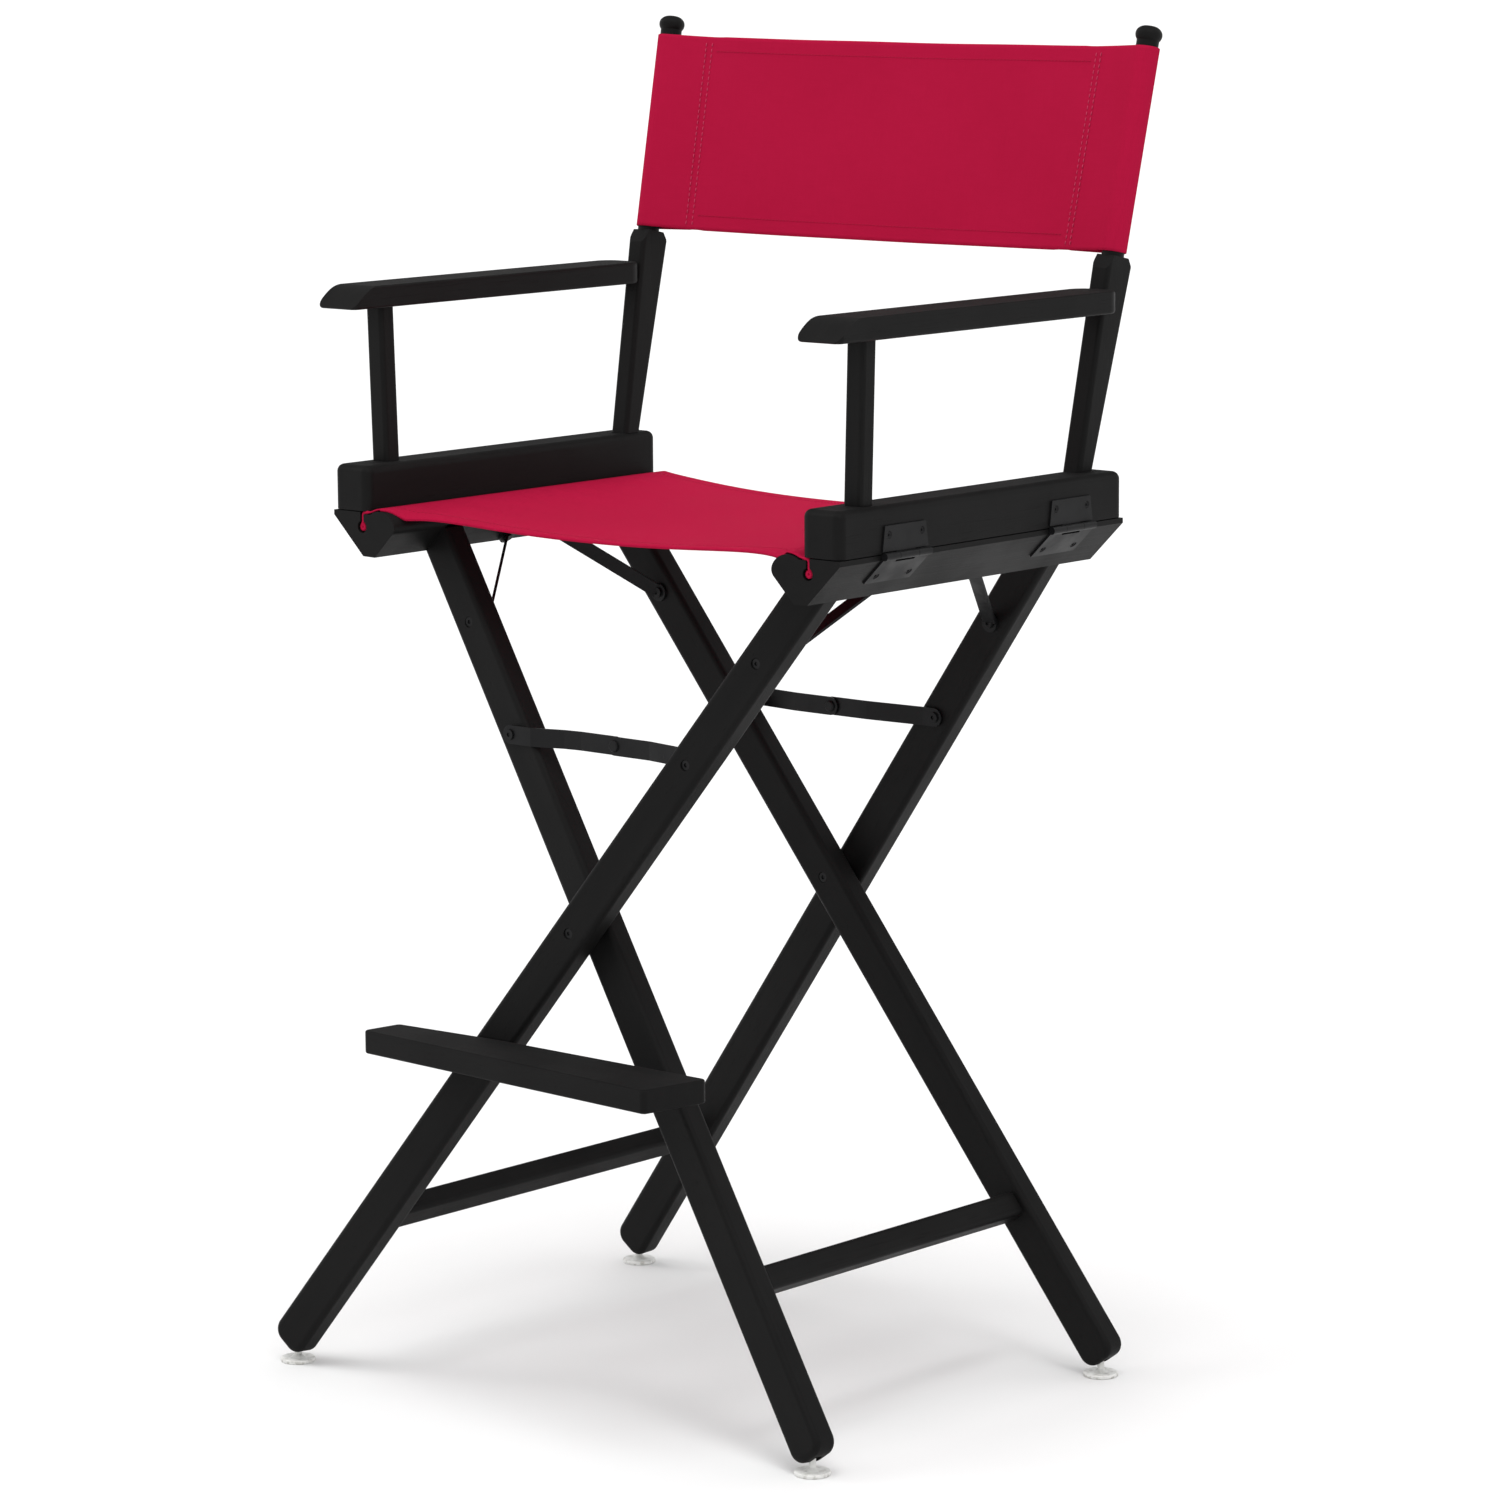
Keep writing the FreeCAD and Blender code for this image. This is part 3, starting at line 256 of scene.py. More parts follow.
def make_plain_weave() -> None:
    """Group: threads that cross over and under one another, from coordinates in metres."""
    w, given, drain = Effect.open(
        "Plain weave", [("Vector", VECTOR, None), ("Pitch", FLOAT, 0.0008), ("Slub", FLOAT, 0.3)],
        [("Height", FLOAT), ("Gap shade", FLOAT), ("Thread tone", FLOAT)])
    split = w.add("SeparateXYZ", {0: given["Vector"]})
    humps, cells, tones = [], [], []
    for axis in (0, 1):
        wobble = w.noise(given["Vector"], 160.0, 2.0)
        place = w.math("DIVIDE", split.outputs[axis], given["Pitch"])
        place = w.math("ADD", place, w.math("MULTIPLY", wobble, given["Slub"]))
        cells.append(w.math("FLOOR", place))
        off = w.math("SUBTRACT", w.math("FRACT", place), 0.5)
        humps.append(w.math("COSINE", w.math("MULTIPLY", off, math.pi)))
        along = w.math("MULTIPLY", split.outputs[1 - axis], 28.0)
        lane = w.add("CombineXYZ", {0: cells[-1], 1: along, 2: 7.0 * axis})
        tones.append(w.noise(lane.outputs[0], 1.0, 1.0))
    over = w.math("ROUND", w.math("FRACT", w.math("MULTIPLY", w.math("ADD", cells[0], cells[1]), 0.5)))
    over = w.math("GREATER_THAN", over, 0.25)
    under = w.math("SUBTRACT", 1.0, over)
    warp = w.math("MULTIPLY", humps[0], w.math("MULTIPLY_ADD", humps[1], 0.45, 0.55))
    weft = w.math("MULTIPLY", humps[1], w.math("MULTIPLY_ADD", humps[0], 0.45, 0.55))
    height = w.math("ADD", w.math("MULTIPLY", warp, over), w.math("MULTIPLY", weft, under))
    tone = w.math("ADD", w.math("MULTIPLY", tones[0], over), w.math("MULTIPLY", tones[1], under))
    w.feed(drain.inputs["Height"], height)
    # Gap shade: the low places between the threads, used to darken the cloth's colour as painted shade.
    w.feed(drain.inputs["Gap shade"], w.ramp(height, 0.1, 0.5, 1.0, 0.0))
    w.feed(drain.inputs["Thread tone"], tone)


MAKERS: Dict[str, Callable[[], None]] = {
    "Wood grain": make_wood_grain, "Handling": make_handling, "Plain weave": make_plain_weave}


# ------------------------------------------------------------------ finishes
def new_material(name: str, shown: Colour) -> Tuple[bpy.types.Material, Wiring, bpy.types.Node]:
    """An empty node material with its Principled shader wired to the output.

    Args:
        name: the material's name.
        shown: its colour in a plain viewport.

    Returns:
        The material, its wiring and its Principled node.
    """
    material = bpy.data.materials.new(name)
    material.use_nodes = True
    material.diffuse_color = (*shown, 1.0)
    wiring = Wiring(material.node_tree)
    shader = wiring.add("BsdfPrincipled")
    wiring.add("OutputMaterial", {0: shader.outputs[0]})
    return material, wiring, shader


@dataclass(frozen=True)
class LacqueredWood:
    """Black stained hardwood under a thin satin lacquer that leaves the grain open."""

    name: str
    grain: Grain
    deep: Colour = (0.0034, 0.0034, 0.0036)
    lit: Colour = (0.0085, 0.0082, 0.0080)
    dusty: Colour = (0.035, 0.034, 0.033)
    roughness: float = 0.42
    shine: float = 0.08
    dulling: float = 0.36       # how much rougher the faces are that look up and gather dust
    dust: float = 0.08

    def make(self) -> bpy.types.Material:
        """Build the material.

        Returns:
            The new material.
        """
        material, w, shader = new_material(self.name, self.lit)
        place = w.add("TexCoord").outputs["Object"]
        turned = w.add("Mapping", {"Vector": place, "Rotation": self.grain.value}).outputs[0]
        grain = Effect.use("Wood grain", w, Vector=turned, Fineness=1.0)
        worn = Effect.use("Handling", w, Vector=place, Dust=self.dust, Scale=14.0)
        tone = w.mix(grain.outputs["Tone"], self.deep, self.lit)
        tone = w.mix(w.math("MULTIPLY", grain.outputs["Pores"], 0.7), tone, (0.002, 0.002, 0.002))
        tone = w.mix(worn.outputs["Dust"], tone, self.dusty)
        w.feed(shader.inputs["Base Color"], tone)
        rough = w.math("MULTIPLY_ADD", worn.outputs["Rubbed"], -0.10, self.roughness + 0.06)
        rough = w.math("MULTIPLY_ADD", grain.outputs["Fibre"], 0.10, rough)
        rough = w.math("MULTIPLY_ADD", worn.outputs["Upward"], self.dulling, rough)
        rough = w.math("MULTIPLY_ADD", worn.outputs["Dust"], 0.9, rough, clamp=True)
        w.feed(shader.inputs["Roughness"], rough)
        shader.inputs["Specular IOR Level"].default_value = self.shine
        height = w.math("SUBTRACT", w.math("MULTIPLY", grain.outputs["Fibre"], 0.5),
                        w.math("MULTIPLY", grain.outputs["Pores"], 0.8))
        height = w.math("SUBTRACT", height, w.math("MULTIPLY", worn.outputs["Scratches"], 0.5))
        bump = w.add("Bump", {"Strength": 0.35, "Distance": 0.00022, "Height": height})
        w.feed(shader.inputs["Normal"], bump.outputs[0])
        return material


@dataclass(frozen=True)
class BlackedSteel:
    """Thin satin black paint on pressed steel, slightly orange-peeled."""

    name: str
    paint: Colour = (0.0055, 0.0055, 0.0060)
    bare: Colour = (0.060, 0.060, 0.064)
    roughness: float = 0.36

    def make(self) -> bpy.types.Material:
        """Build the material.

        Returns:
            The new material.
        """
        material, w, shader = new_material(self.name, self.paint)
        place = w.add("TexCoord").outputs["Object"]
        worn = Effect.use("Handling", w, Vector=place, Dust=0.08, Scale=40.0)
        chips = w.math("MULTIPLY", worn.outputs["Scratches"], 0.55)
        w.feed(shader.inputs["Base Color"], w.mix(chips, self.paint, self.bare))
        w.feed(shader.inputs["Metallic"], chips)
        w.feed(shader.inputs["Roughness"], w.math("MULTIPLY_ADD", worn.outputs["Rubbed"], 0.16, self.roughness))
        shader.inputs["Specular IOR Level"].default_value = 0.16
        peel = w.noise(place, 1500.0, 2.0)
        bump = w.add("Bump", {"Strength": 0.25, "Distance": 0.00008, "Height": peel})
        w.feed(shader.inputs["Normal"], bump.outputs[0])
        return material


@dataclass(frozen=True)
class Canvas:
    """Heavy plain-woven cotton, dyed crimson. Its UV map is in metres of cloth."""

    name: str
    dye: Colour = (0.392, 0.0078, 0.0425)
    deep: Colour = (0.290, 0.0045, 0.0270)
    faded: Colour = (0.420, 0.0100, 0.0500)
    pitch: float = 0.00085

    def make(self) -> bpy.types.Material:
        """Build the material.

        Returns:
            The new material.
        """
        material, w, shader = new_material(self.name, self.dye)
        cloth = w.add("UVMap").outputs[0]
        weave = Effect.use("Plain weave", w, Vector=cloth, Pitch=self.pitch, Slub=0.35)
        cloud = w.noise(cloth, 11.0, 4.0)
        tone = w.mix(w.ramp(cloud, 0.3, 0.75, 0.0, 0.35), self.dye, self.faded)
        tone = w.mix(w.ramp(weave.outputs["Thread tone"], 0.3, 0.7, 0.0, 0.16), tone, self.deep)
        # Painted shade: the gaps between the threads are darkened towards the deep colour.
        tone = w.mix(w.math("MULTIPLY", weave.outputs["Gap shade"], 0.35), tone, self.deep)
        lint = w.ramp(w.noise(cloth, 700.0, 1.0), 0.76, 0.82, 0.0, 0.12)
        w.feed(shader.inputs["Base Color"], w.mix(lint, tone, (0.52, 0.07, 0.13)))
        w.feed(shader.inputs["Roughness"], w.ramp(cloud, 0.3, 0.7, 0.82, 0.92))
        shader.inputs["Specular IOR Level"].default_value = 0.012
        shader.inputs["Sheen Weight"].default_value = 0.004
        shader.inputs["Sheen Roughness"].default_value = 0.45
        shader.inputs["Sheen Tint"].default_value = (0.9, 0.35, 0.42, 1.0)
        fuzz = w.noise(cloth, 2600.0, 2.0)
        soft = w.noise(cloth, 45.0, 3.0)
        height = w.math("MULTIPLY_ADD", fuzz, 0.25, weave.outputs["Height"])
        fine = w.add("Bump", {"Strength": 0.55, "Distance": 0.00022, "Height": height})
        slow = w.add("Bump", {"Strength": 0.25, "Distance": 0.0012, "Height": soft, "Normal": fine.outputs[0]})
        w.feed(shader.inputs["Normal"], slow.outputs[0])
        return material


@dataclass(frozen=True)
class SewingThread:
    """Bonded thread with its twist, its grooves darkened as painted shade."""

    name: str
    colour: Colour = (0.40, 0.0075, 0.044)

    def make(self) -> bpy.types.Material:
        """Build the material.

        Returns:
            The new material.
        """
        material, w, shader = new_material(self.name, self.colour)
        place = w.add("TexCoord").outputs["Object"]
        twist = w.add("TexWave", {"Vector": place, "Scale": 900.0, "Distortion": 0.5},
                      bands_direction="DIAGONAL").outputs["Fac"]
        # Painted shade: the grooves of the twist are darkened to seven tenths of the thread's colour.
        dark = (self.colour[0] * 0.7, self.colour[1] * 0.7, self.colour[2] * 0.7)
        w.feed(shader.inputs["Base Color"], w.mix(twist, self.colour, dark))
        w.feed(shader.inputs["Roughness"], w.ramp(twist, 0.0, 1.0, 0.6, 0.75))
        shader.inputs["Specular IOR Level"].default_value = 0.1
        bump = w.add("Bump", {"Strength": 0.5, "Distance": 0.0001, "Height": twist})
        w.feed(shader.inputs["Normal"], bump.outputs[0])
        return material


@dataclass(frozen=True)
class MouldedNylon:
    """Milky white nylon of the glides, greyer in patches towards the bottom."""

    name: str
    clean: Colour = (0.70, 0.70, 0.68)
    lower_grey: Colour = (0.42, 0.41, 0.38)

    def make(self) -> bpy.types.Material:
        """Build the material.

        Returns:
            The new material.
        """
        material, w, shader = new_material(self.name, self.clean)
        place = w.add("TexCoord").outputs["Object"]
        height = w.add("SeparateXYZ", {0: place}).outputs[2]
        # Grey patches, strongest at the bottom and fading out over the lowest 6 mm.
        lower_patches = w.math("MULTIPLY", w.ramp(w.noise(place, 220.0, 4.0), 0.42, 0.66),
                       w.ramp(height, 0.0, 0.006, 1.0, 0.15))
        w.feed(shader.inputs["Base Color"], w.mix(lower_patches, self.clean, self.lower_grey))
        w.feed(shader.inputs["Roughness"], w.ramp(lower_patches, 0.0, 1.0, 0.32, 0.6))
        shader.inputs["Subsurface Weight"].default_value = 0.15
        shader.inputs["Subsurface Radius"].default_value = (0.004, 0.004, 0.004)
        bump = w.add("Bump", {"Strength": 0.3, "Distance": 0.0002, "Height": w.noise(place, 600.0, 3.0)})
        w.feed(shader.inputs["Normal"], bump.outputs[0])
        return material


@dataclass(frozen=True)
class BareDowel:
    """Raw birch of the sticks in the seat's hems."""

    name: str
    pale: Colour = (0.60, 0.43, 0.26)
    dark: Colour = (0.42, 0.28, 0.16)

    def make(self) -> bpy.types.Material:
        """Build the material.

        Returns:
            The new material.
        """
        material, w, shader = new_material(self.name, self.pale)
        place = w.add("TexCoord").outputs["Object"]
        turned = w.add("Mapping", {"Vector": place, "Rotation": Grain.FORE_AND_AFT.value}).outputs[0]
        grain = Effect.use("Wood grain", w, Vector=turned, Fineness=1.5)
        tone = w.mix(grain.outputs["Fibre"], self.pale, self.dark)
        w.feed(shader.inputs["Base Color"], tone)
        w.feed(shader.inputs["Roughness"], w.ramp(grain.outputs["Tone"], 0.2, 0.8, 0.6, 0.75))
        bump = w.add("Bump", {"Strength": 0.4, "Distance": 0.0002, "Height": grain.outputs["Fibre"]})
        w.feed(shader.inputs["Normal"], bump.outputs[0])
        return material


class Finishes:
    """Every finish of the chair, each made once."""

    def __init__(self) -> None:
        """Make the finishes."""
        self.wood = {g: LacqueredWood("Black lacquered wood " + g.name.lower().replace("_", " "), g).make()
                     for g in Grain}
        self.steel = BlackedSteel("Satin black steel").make()
        self.canvas = Canvas("Crimson canvas").make()
        self.thread = SewingThread("Crimson thread").make()
        self.pale_thread = SewingThread("Pale crimson thread", (0.56, 0.050, 0.120)).make()
        self.nylon = MouldedNylon("White nylon").make()
        self.dowel = BareDowel("Bare birch").make()


# ------------------------------------------------------------------ mesh helpers
def mesh_piece(name: str, points: Sequence[Vector], faces: Sequence[Sequence[int]],
               uvs: Optional[Sequence[Tuple[float, float]]] = None) -> bpy.types.Object:
    """An object from points and faces, shaded smooth.

    Args:
        name: the piece's name.
        points: its vertices in the row frame.
        faces: vertex numbers of each face.
        uvs: one coordinate for each vertex, in metres of material.

    Returns:
        The new object, linked to the scene.
    """
    mesh = bpy.data.meshes.new(name)
    mesh.from_pydata([tuple(p) for p in points], [], [tuple(f) for f in faces])
    if uvs is not None:
        layer = mesh.uv_layers.new(name="UVMap")
        for loop in mesh.loops:
            layer.data[loop.index].uv = uvs[loop.vertex_index]
    mesh.validate()
    mesh.shade_smooth()
    piece = bpy.data.objects.new(name, mesh)
    bpy.context.scene.collection.objects.link(piece)
    return piece


def dress(piece: bpy.types.Object, material: bpy.types.Material) -> None:
    """Give a piece one material, in a new slot if it has none yet.

    Args:
        piece: the piece.
        material: its finish.
    """
    if piece.material_slots:
        for place in piece.material_slots:
            place.material = material
    else:
        piece.data.materials.append(material)


Grid = List[List[Vector]]


def grid_normals(grid: Grid) -> Grid:
    """Unit normals of a grid of points, from its own rows and columns.

    Args:
        grid: the points.

    Returns:
        A normal for each point.
    """
    rows, columns = len(grid), len(grid[0])
    found: Grid = []
    for i in range(rows):
        line = []
        for j in range(columns):
            along = grid[min(i + 1, rows - 1)][j] - grid[max(i - 1, 0)][j]
            across = grid[i][min(j + 1, columns - 1)] - grid[i][max(j - 1, 0)]
            line.append(along.cross(across).normalized())
        found.append(line)
    return found


def thick_sheet(name: str, grid: Grid, uvs: List[List[Tuple[float, float]]],
                front: Callable[[int, int], float], back: Callable[[int, int], float]) -> bpy.types.Object:
    """A closed sheet of cloth with softly rounded edges.

    Args:
        name: the piece's name.
        grid: points of the middle surface.
        uvs: metres of cloth for each point.
        front: thickness on the side of the grid's normal, at row i and column j.
        back: thickness on the other side.

    Returns:
        The new object.
    """
    rows, columns = len(grid), len(grid[0])
    normals = grid_normals(grid)
    points: List[Vector] = []
    coords: List[Tuple[float, float]] = []
    for sign, depth in ((1, front), (-1, back)):
        for i in range(rows):
            for j in range(columns):
                points.append(grid[i][j] + normals[i][j] * (sign * depth(i, j)))
                coords.append(uvs[i][j])
    count = rows * columns
    faces = []
    for i in range(rows - 1):
        for j in range(columns - 1):
            a, b = i * columns + j, (i + 1) * columns + j
            faces.append((a, b, b + 1, a + 1))
            faces.append((a + count + 1, b + count + 1, b + count, a + count))
    rim = [(i, 0) for i in range(rows)] + [(rows - 1, j) for j in range(1, columns)]
    rim += [(i, columns - 1) for i in range(rows - 2, -1, -1)] + [(0, j) for j in range(columns - 2, 0, -1)]
    middle = sum((p for line in grid for p in line), Vector()) / count
    start = len(points)
    for n, (i, j) in enumerate(rim):
        before, after = rim[n - 1], rim[(n + 1) % len(rim)]
        way = grid[after[0]][after[1]] - grid[before[0]][before[1]]
        out = way.cross(normals[i][j]).normalized()
        if out.dot(grid[i][j] - middle) < 0:
            out = -out
        bulge = 0.5 * (front(i, j) + back(i, j)) * 0.7
        shift = normals[i][j] * (0.5 * (front(i, j) - back(i, j)))
        points.append(grid[i][j] + shift + out * bulge)
        coords.append(uvs[i][j])
    for n, (i, j) in enumerate(rim):
        k, l = rim[(n + 1) % len(rim)]
        top0, top1 = i * columns + j, k * columns + l
        mid0, mid1 = start + n, start + (n + 1) % len(rim)
        faces.append((top0, mid0, mid1, top1))
        faces.append((mid0, top0 + count, top1 + count, mid1))
    piece = mesh_piece(name, points, faces, coords)
    tidy = bmesh.new()
    tidy.from_mesh(piece.data)
    bmesh.ops.recalc_face_normals(tidy, faces=tidy.faces)
    tidy.to_mesh(piece.data)
    tidy.free()
    return piece


# Rings of one stitch: where along it, how wide and how far off the cloth, in its lengths and radii.
STITCH_RINGS = ((-0.5, 0.45, -0.6), (-0.3, 1.0, 0.35), (0.3, 1.0, 0.35), (0.5, 0.45, -0.6))
STITCH_SIDES = 6


@dataclass
class StitchRun:
    """A row of machine stitches along a line that lies on cloth."""

    line: List[Vector]
    normals: List[Vector]
    length: float = 0.0028
    gap: float = 0.0010
    radius: float = 0.00032

    def add_to(self, points: List[Vector], faces: List[Tuple[int, ...]]) -> None:
        """Append the run's stitches to lists of vertices and faces.

        Args:
            points: the vertices so far.
            faces: the faces so far, as vertex numbers.
        """
        lengths = [0.0]
        for a, b in zip(self.line, self.line[1:]):
            lengths.append(lengths[-1] + (b - a).length)
        at = self.gap
        while at + self.length < lengths[-1]:
            centre, way, up = self.read(lengths, at + self.length / 2)
            across = way.cross(up).normalized()
            base = len(points)
            for share, size, lift in STITCH_RINGS:
                middle = centre + way * (share * self.length) + up * (lift * self.radius)
                for k in range(STITCH_SIDES):
                    turn = 2 * math.pi * k / STITCH_SIDES
                    out = across * math.cos(turn) + up * math.sin(turn)
                    points.append(middle + out * (size * self.radius))
            last = base + (len(STITCH_RINGS) - 1) * STITCH_SIDES
            for ring in range(base, last, STITCH_SIDES):
                for k in range(STITCH_SIDES):
                    a, b = ring + k, ring + (k + 1) % STITCH_SIDES
                    faces.append((a, b, b + STITCH_SIDES, a + STITCH_SIDES))
            faces.append(tuple(base + k for k in reversed(range(STITCH_SIDES))))
            faces.append(tuple(last + k for k in range(STITCH_SIDES)))
            at += self.length + self.gap

    def read(self, lengths: List[float], at: float) -> Tuple[Vector, Vector, Vector]:
        """Find a place on the line.

        Args:
            lengths: distance along the line to each of its points.
            at: the distance wanted.

        Returns:
            The place, the line's direction and the cloth's normal there.
        """
        for n in range(len(lengths) - 1):
            if lengths[n + 1] >= at:
                share = (at - lengths[n]) / max(lengths[n + 1] - lengths[n], 1e-9)
                place = self.line[n].lerp(self.line[n + 1], share)
                way = (self.line[n + 1] - self.line[n]).normalized()
                return place, way, self.normals[n].lerp(self.normals[n + 1], share).normalized()
        return self.line[-1], (self.line[-1] - self.line[-2]).normalized(), self.normals[-1]


def stitching(name: str, runs: Iterable[StitchRun], material: bpy.types.Material) -> bpy.types.Object:
    """One piece that holds several rows of stitches.

    Args:
        name: the piece's name.
        runs: its rows.
        material: the thread.

    Returns:
        The new object.
    """
    points: List[Vector] = []
    faces: List[Tuple[int, ...]] = []
    for run in runs:
        run.add_to(points, faces)
    piece = mesh_piece(name, points, faces)
    dress(piece, material)
    return piece


# ------------------------------------------------------------------ canvas seat
@dataclass
class Seat:
    """The seat cloth: one sheet slung between the lower rails, its hems keyed into their grooves."""

    lip_x: float = 0.2285
    lip_z: float = 0.7402
    middle_z: float = 0.7270
    front_y: float = -0.142
    rear_y: float = 0.196
    reach: float = 0.0212           # how much further forward the front edge stands at the lips
    reach_fade: float = 0.026
    overlap_x: float = 0.2150       # where the right hem's piece ends on the seat
    bow: float = 0.0045             # how far the front edge curves back at its middle
    half: float = 0.0008            # half the cloth's thickness
    hem: float = 0.017              # width of the front and rear hems
    hem_extra: float = 0.0013       # the turned layer under a hem
    droop_depth: float = 0.0058     # how far the front edge hangs over the rails' rounded lips
    droop_at: float = 0.016         # distance in from a lip where it hangs lowest
    droop_fade: float = 0.024
    droop_back: float = 0.016       # how far back from the front edge it reaches
    pucker: float = 0.00055         # small waves where the cloth leaves a lip
    pucker_pitch: float = 0.034
    cut: Tuple[float, float] = (0.460, 0.374)
    right_cut: Tuple[float, float] = (0.065, 0.374)
    left_cut: Tuple[float, float] = (0.052, 0.374)

    def droop(self, inside: float, behind: float) -> float:
        """How far the cloth hangs over a rail's rounded lip.

        Args:
            inside: distance in from the lip.
            behind: distance back from the front edge.

        Returns:
            The drop, in metres.
        """
        share = inside / self.droop_at
        hang = share * share if share < 1 else math.exp(-(inside - self.droop_at) / self.droop_fade)
        return self.droop_depth * hang * math.exp(-behind / self.droop_back)

    def front(self, x: float) -> float:
        """Find the front edge, which curves back from the ends of the rails to the middle.

        Args:
            x: place across the chair.

        Returns:
            The edge's y.
        """
        inside = max(0.0, self.lip_x - abs(x))
        share = min(1.0, inside / self.lip_x)
        return (self.front_y - self.reach * math.exp(-inside / self.reach_fade)
                + self.bow * (1 - (1 - share) ** 2))

    def surface(self, x: float, v: float) -> Vector:
        """Find a point of the cloth's middle surface.

        Args:
            x: place across the chair.
            v: share of the depth, from 0 at the front to 1 at the rear.

        Returns:
            The point.
        """
        u = x / self.lip_x
        inward = 1 - u * u
        y = self.front(x) + (self.rear_y - self.front(x)) * v - self.bow * 0.6 * inward * v ** 3
        z = self.middle_z + (self.lip_z - self.middle_z) * u * u
        z -= 0.0030 * inward * math.sin(math.pi * min(max(v, 0.0), 1.0)) - 0.0012 * inward
        z += 0.0022 * inward * u - self.droop(self.lip_x - abs(x), y - self.front(x))
        pull = math.exp(-(self.lip_x - abs(x)) / 0.05)
        z += self.pucker * pull * min(1.0, (self.lip_x - abs(x)) / 0.012) * math.sin(
            2 * math.pi * y / self.pucker_pitch + 2.2 * noise.noise(Vector((x * 9, y * 9, 1.5))))
        z += 0.0011 * inward * noise.noise(Vector((x * 5.0, y * 13.0, 4.0)))
        return Vector((x, y, z))

    def columns(self) -> List[float]:
        """Space the grid's columns, with a step at each hem.

        Returns:
            Shares of the depth.
        """
        depth = self.rear_y - self.front_y
        edge = self.hem / depth
        inner = [edge + 0.0035 + (1 - 2 * edge - 0.007) * n / 66 for n in range(67)]
        front = [edge * n / 6 for n in range(7)]
        return front + inner + [1 - s for s in reversed(front)]

    def sheet_part(self, name: str, xs: Sequence[float]) -> bpy.types.Object:
        """Make the seat between the lips.

        Args:
            name: the piece's name.
            xs: x of each row of its grid.

        Returns:
            The new object.
        """
        vs = self.columns()
        depth = self.rear_y - self.front_y
        grid = [[self.surface(x, v) for v in vs] for x in xs]
        uvs = [[(x, p.y) for p in line] for x, line in zip(xs, grid)]

        def under(i: int, j: int) -> float:
            """Thickness below the cloth's middle: more where the hem is turned under.

            Args:
                i: row of the grid.
                j: column of the grid.

            Returns:
                The thickness.
            """
            v = vs[j] * depth
            turned = v <= self.hem + 1e-6 or v >= depth - self.hem - 1e-6
            return self.half + (self.hem_extra if turned else 0.0)

        def plain(i: int, j: int) -> float:
            """Thickness above the cloth's middle."""
            return self.half

        top_is_front = grid_normals(grid)[1][1].z > 0
        return thick_sheet(name, grid, uvs, plain if top_is_front else under, under if top_is_front else plain)

    def hem_path(self, tube: float = 0.0039) -> List[Tuple[float, float]]:
        """(x, z) of the cloth from the lip, over the rail, down the groove and round its stick.

        Args:
            tube: radius of the cloth's middle round the stick.

        Returns:
            The path, in metres.
        """
        mm = [(228.5, 740.2), (231.5, 740.0), (234.5, 739.35), (237.5, 738.3), (240.2, 737.2), (242.5, 736.6),
              (245.5, 736.3), (248.0, 736.05), (249.4, 735.3), (250.1, 733.6), (250.1, 731.0), (250.05, 728.6)]
        path = [(x / 1000, z / 1000) for x, z in mm]
        for n in range(1, 20):
            turn = math.radians(80 - 330 * n / 19)
            path.append((0.250 + tube * math.cos(turn), 0.724 + tube * math.sin(turn)))
        return path

    def hem_part(self, name: str, side: Side) -> bpy.types.Object:
        """Make the end of the cloth on one rail. On the right it runs on a little way over the seat.

        Args:
            name: the piece's name.
            side: which rail.

        Returns:
            The new object.
        """
        vs = self.columns()
        rows: Grid = []
        reach: List[float] = []
        if side is Side.RIGHT:
            for n in range(5):
                x = self.overlap_x + (self.lip_x - self.overlap_x) * n / 5
                rows.append([self.surface(x, v) for v in vs])
                reach.append(x)
        run = self.lip_x
        y0 = self.front(self.lip_x)
        ys = [y0 + (self.rear_y - y0) * v for v in vs]
        bunched = [max(0.0, 1 - (y - y0) / 0.0075) for y in ys]
        paths = [self.hem_path(0.0039 - 0.0021 * b) for b in bunched]
        for n in range(len(paths[0])):
            if n:
                run += math.dist(paths[-1][n - 1], paths[-1][n])
            rows.append([Vector((path[n][0] * side.value, y, path[n][1])) for path, y in zip(paths, ys)])
            reach.append(run)
        uvs = [[(r * side.value, p.y) for p in line] for r, line in zip(reach, rows)]
        first = len(rows) - len(paths[0]) + 5

        def thick(i: int, j: int) -> float:
            """Half thickness: more at the front end in the groove, where the cloth is folded in."""
            return self.half * 0.85 + (0.00105 * bunched[j] if i > first else 0.0)

        return thick_sheet(name, rows, uvs, thick, thick)

    def build(self, finishes: Finishes) -> None:
        """Build the seat, dress it and join its left end to the inner frame's body.

        Args:
            finishes: the chair's finishes.
        """
        steps = 74
        xs = [self.overlap_x - (self.overlap_x + self.lip_x) * n / steps for n in range(steps + 1)]
        xs = sorted(set(xs + [-self.lip_x + 0.003, -self.lip_x + 0.009]), reverse=True)
        main = self.sheet_part("seat_cloth", xs)
        right = self.hem_part("seat_cloth_right_end", Side.RIGHT)
        left = self.hem_part("seat_cloth_left_end", Side.LEFT)
        for piece in (main, right, left):
            dress(piece, finishes.canvas)
        seams = stitching("seat_hem_stitches", self.hem_runs(xs), finishes.thread)
        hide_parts("seat_right", "seat_left")
        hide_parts("seat_hem_right")
        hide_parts("seat_hem_left")
        for piece in (main, seams):
            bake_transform(piece)
        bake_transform(right)
        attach(left, "inner_frame")
        LOG.info("seat: cloth, two ends and its stitches")

